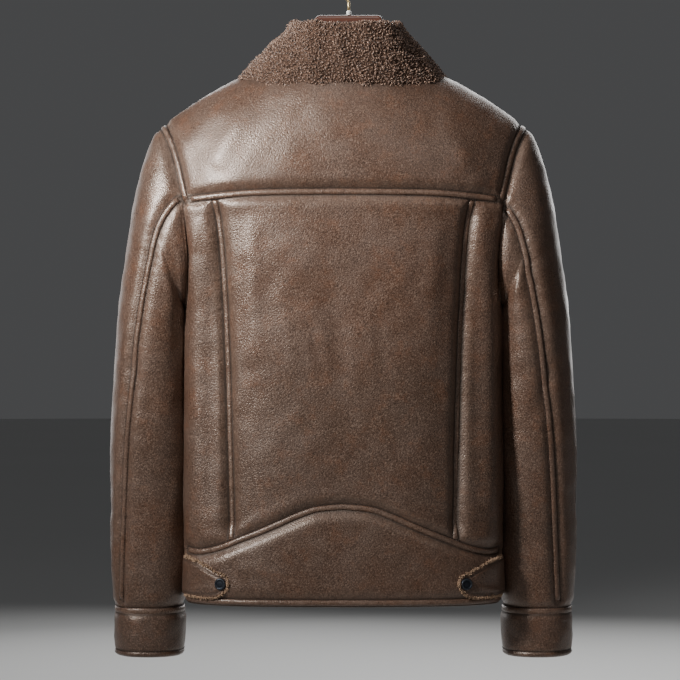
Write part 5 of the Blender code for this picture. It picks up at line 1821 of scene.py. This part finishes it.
class JACKET_PG_colours(bpy.types.PropertyGroup):
    """Colours of the jacket's leather, pile and fittings."""

    leather: colour_property("Leather", "The leather's main brown", (0.078, 0.045, 0.031))
    leather_red: colour_property("Warm leather", "Warmer patches in the leather", (0.092, 0.047, 0.030))
    leather_grey: colour_property("Grey leather", "Greyer mottling in the leather", (0.092, 0.060, 0.046))
    leather_rust: colour_property("Rust", "Rusty flecks", (0.160, 0.064, 0.030))
    leather_worn: colour_property("Worn leather", "Where the finish is rubbed off", (0.230, 0.155, 0.112))
    # Dark in the leather's pores and flecks; at 0.45 of it, the painted shade in the seam grooves and under
    # the collar
    leather_dark: colour_property("Pores and groove shade", "Dark finish in pores and grooves", (0.021, 0.012, 0.008))
    pile: colour_property("Pile", "The curls' main colour", (0.250, 0.145, 0.098))
    pile_tip: colour_property("Pile tips", "The curls' pale tips", (0.490, 0.330, 0.240))
    pile_dark: colour_property("Pile roots", "The pile's shadowed roots", (0.030, 0.015, 0.009))
    raw_edge: colour_property("Raw edge", "Fibres at the tabs' cut edges", (0.500, 0.330, 0.215))
    thread: colour_property("Thread", "Sewing thread", (0.060, 0.036, 0.025))
    stud: colour_property("Studs", "Blackened metal", (0.018, 0.021, 0.027))
    wood: colour_property("Wood", "The hanger's lacquered wood", (0.088, 0.026, 0.012))
    brass: colour_property("Brass", "The hook's wire", (0.720, 0.540, 0.260))


def sizes_of(context):
    return context.scene.jacket_sizes


class JACKET_OT_back(bpy.types.Operator):
    """The yoke, the centre and side panels and the hem band of the back"""

    bl_idname = "jacket.back"
    bl_label = "Back"

    def execute(self, context):
        make_back(sizes_of(context))
        return {"FINISHED"}


class JACKET_OT_fronts(bpy.types.Operator):
    """The two fronts and the placket that laps over the opening"""

    bl_idname = "jacket.fronts"
    bl_label = "Fronts"

    def execute(self, context):
        make_fronts(sizes_of(context))
        return {"FINISHED"}


class JACKET_OT_strips(bpy.types.Operator):
    """The raised strips along the seams and the stitches beside them"""

    bl_idname = "jacket.strips"
    bl_label = "Seam strips"

    def execute(self, context):
        make_strips(sizes_of(context))
        return {"FINISHED"}


class JACKET_OT_tabs(bpy.types.Operator):
    """The two hem tabs with their raw pile edges and studs"""

    bl_idname = "jacket.tabs"
    bl_label = "Hem tabs"

    def execute(self, context):
        make_tabs()
        return {"FINISHED"}


class JACKET_OT_front_studs(bpy.types.Operator):
    """The press studs down the placket"""

    bl_idname = "jacket.front_studs"
    bl_label = "Front studs"

    def execute(self, context):
        make_front_caps()
        return {"FINISHED"}


class JACKET_OT_sleeves(bpy.types.Operator):
    """The top and under pieces of both sleeves"""

    bl_idname = "jacket.sleeves"
    bl_label = "Sleeves"

    def execute(self, context):
        make_sleeves(sizes_of(context))
        return {"FINISHED"}


class JACKET_OT_cuffs(bpy.types.Operator):
    """The two cuffs and the stitching round their hems"""

    bl_idname = "jacket.cuffs"
    bl_label = "Cuffs"

    def execute(self, context):
        make_cuffs(sizes_of(context))
        return {"FINISHED"}


class JACKET_OT_collar(bpy.types.Operator):
    """The turned-down collar and its curly pile"""

    bl_idname = "jacket.collar"
    bl_label = "Collar"

    def execute(self, context):
        make_collar(sizes_of(context))
        return {"FINISHED"}


class JACKET_OT_hanger(bpy.types.Operator):
    """The wooden hanger"""

    bl_idname = "jacket.hanger"
    bl_label = "Hanger"

    def execute(self, context):
        make_hanger()
        return {"FINISHED"}


class JACKET_OT_hook(bpy.types.Operator):
    """The hanger's wire hook and its ball"""

    bl_idname = "jacket.hook"
    bl_label = "Hook"

    def execute(self, context):
        make_hook()
        return {"FINISHED"}


class JACKET_OT_stage(bpy.types.Operator):
    """The floor, lamps, background and camera"""

    bl_idname = "jacket.stage"
    bl_label = "Stage"

    def execute(self, context):
        make_stage()
        return {"FINISHED"}


PIECES = (
    JACKET_OT_back,
    JACKET_OT_fronts,
    JACKET_OT_strips,
    JACKET_OT_tabs,
    JACKET_OT_front_studs,
    JACKET_OT_sleeves,
    JACKET_OT_cuffs,
    JACKET_OT_collar,
    JACKET_OT_hanger,
    JACKET_OT_hook,
    JACKET_OT_stage,
)


class JACKET_PT_panel(bpy.types.Panel):
    """The jacket's pieces, sizes and colours"""

    bl_label = "Jacket"
    bl_idname = "JACKET_PT_panel"
    bl_space_type = "VIEW_3D"
    bl_region_type = "UI"
    bl_category = "Jacket"

    def draw(self, context):
        for piece in PIECES:
            self.layout.operator(piece.bl_idname)
        for group in (context.scene.jacket_sizes, context.scene.jacket_colours):
            box = self.layout.box()
            for name in group.bl_rna.properties.keys():
                if name not in ("name", "rna_type"):
                    box.prop(group, name)


CLASSES = (JACKET_PG_sizes, JACKET_PG_colours, *PIECES, JACKET_PT_panel)


def register():
    for cls in CLASSES:
        bpy.utils.register_class(cls)
    bpy.types.Scene.jacket_sizes = bpy.props.PointerProperty(type=JACKET_PG_sizes)
    bpy.types.Scene.jacket_colours = bpy.props.PointerProperty(type=JACKET_PG_colours)


def unregister():
    del bpy.types.Scene.jacket_colours
    del bpy.types.Scene.jacket_sizes
    for cls in reversed(CLASSES):
        bpy.utils.unregister_class(cls)


def corners(box):
    return [[float(v) for v in corner] for corner in box]


def main():
    register()
    for piece in PIECES:
        group, name = piece.bl_idname.split(".")
        getattr(getattr(bpy.ops, group), name)()


if __name__ == "__main__":
    main()
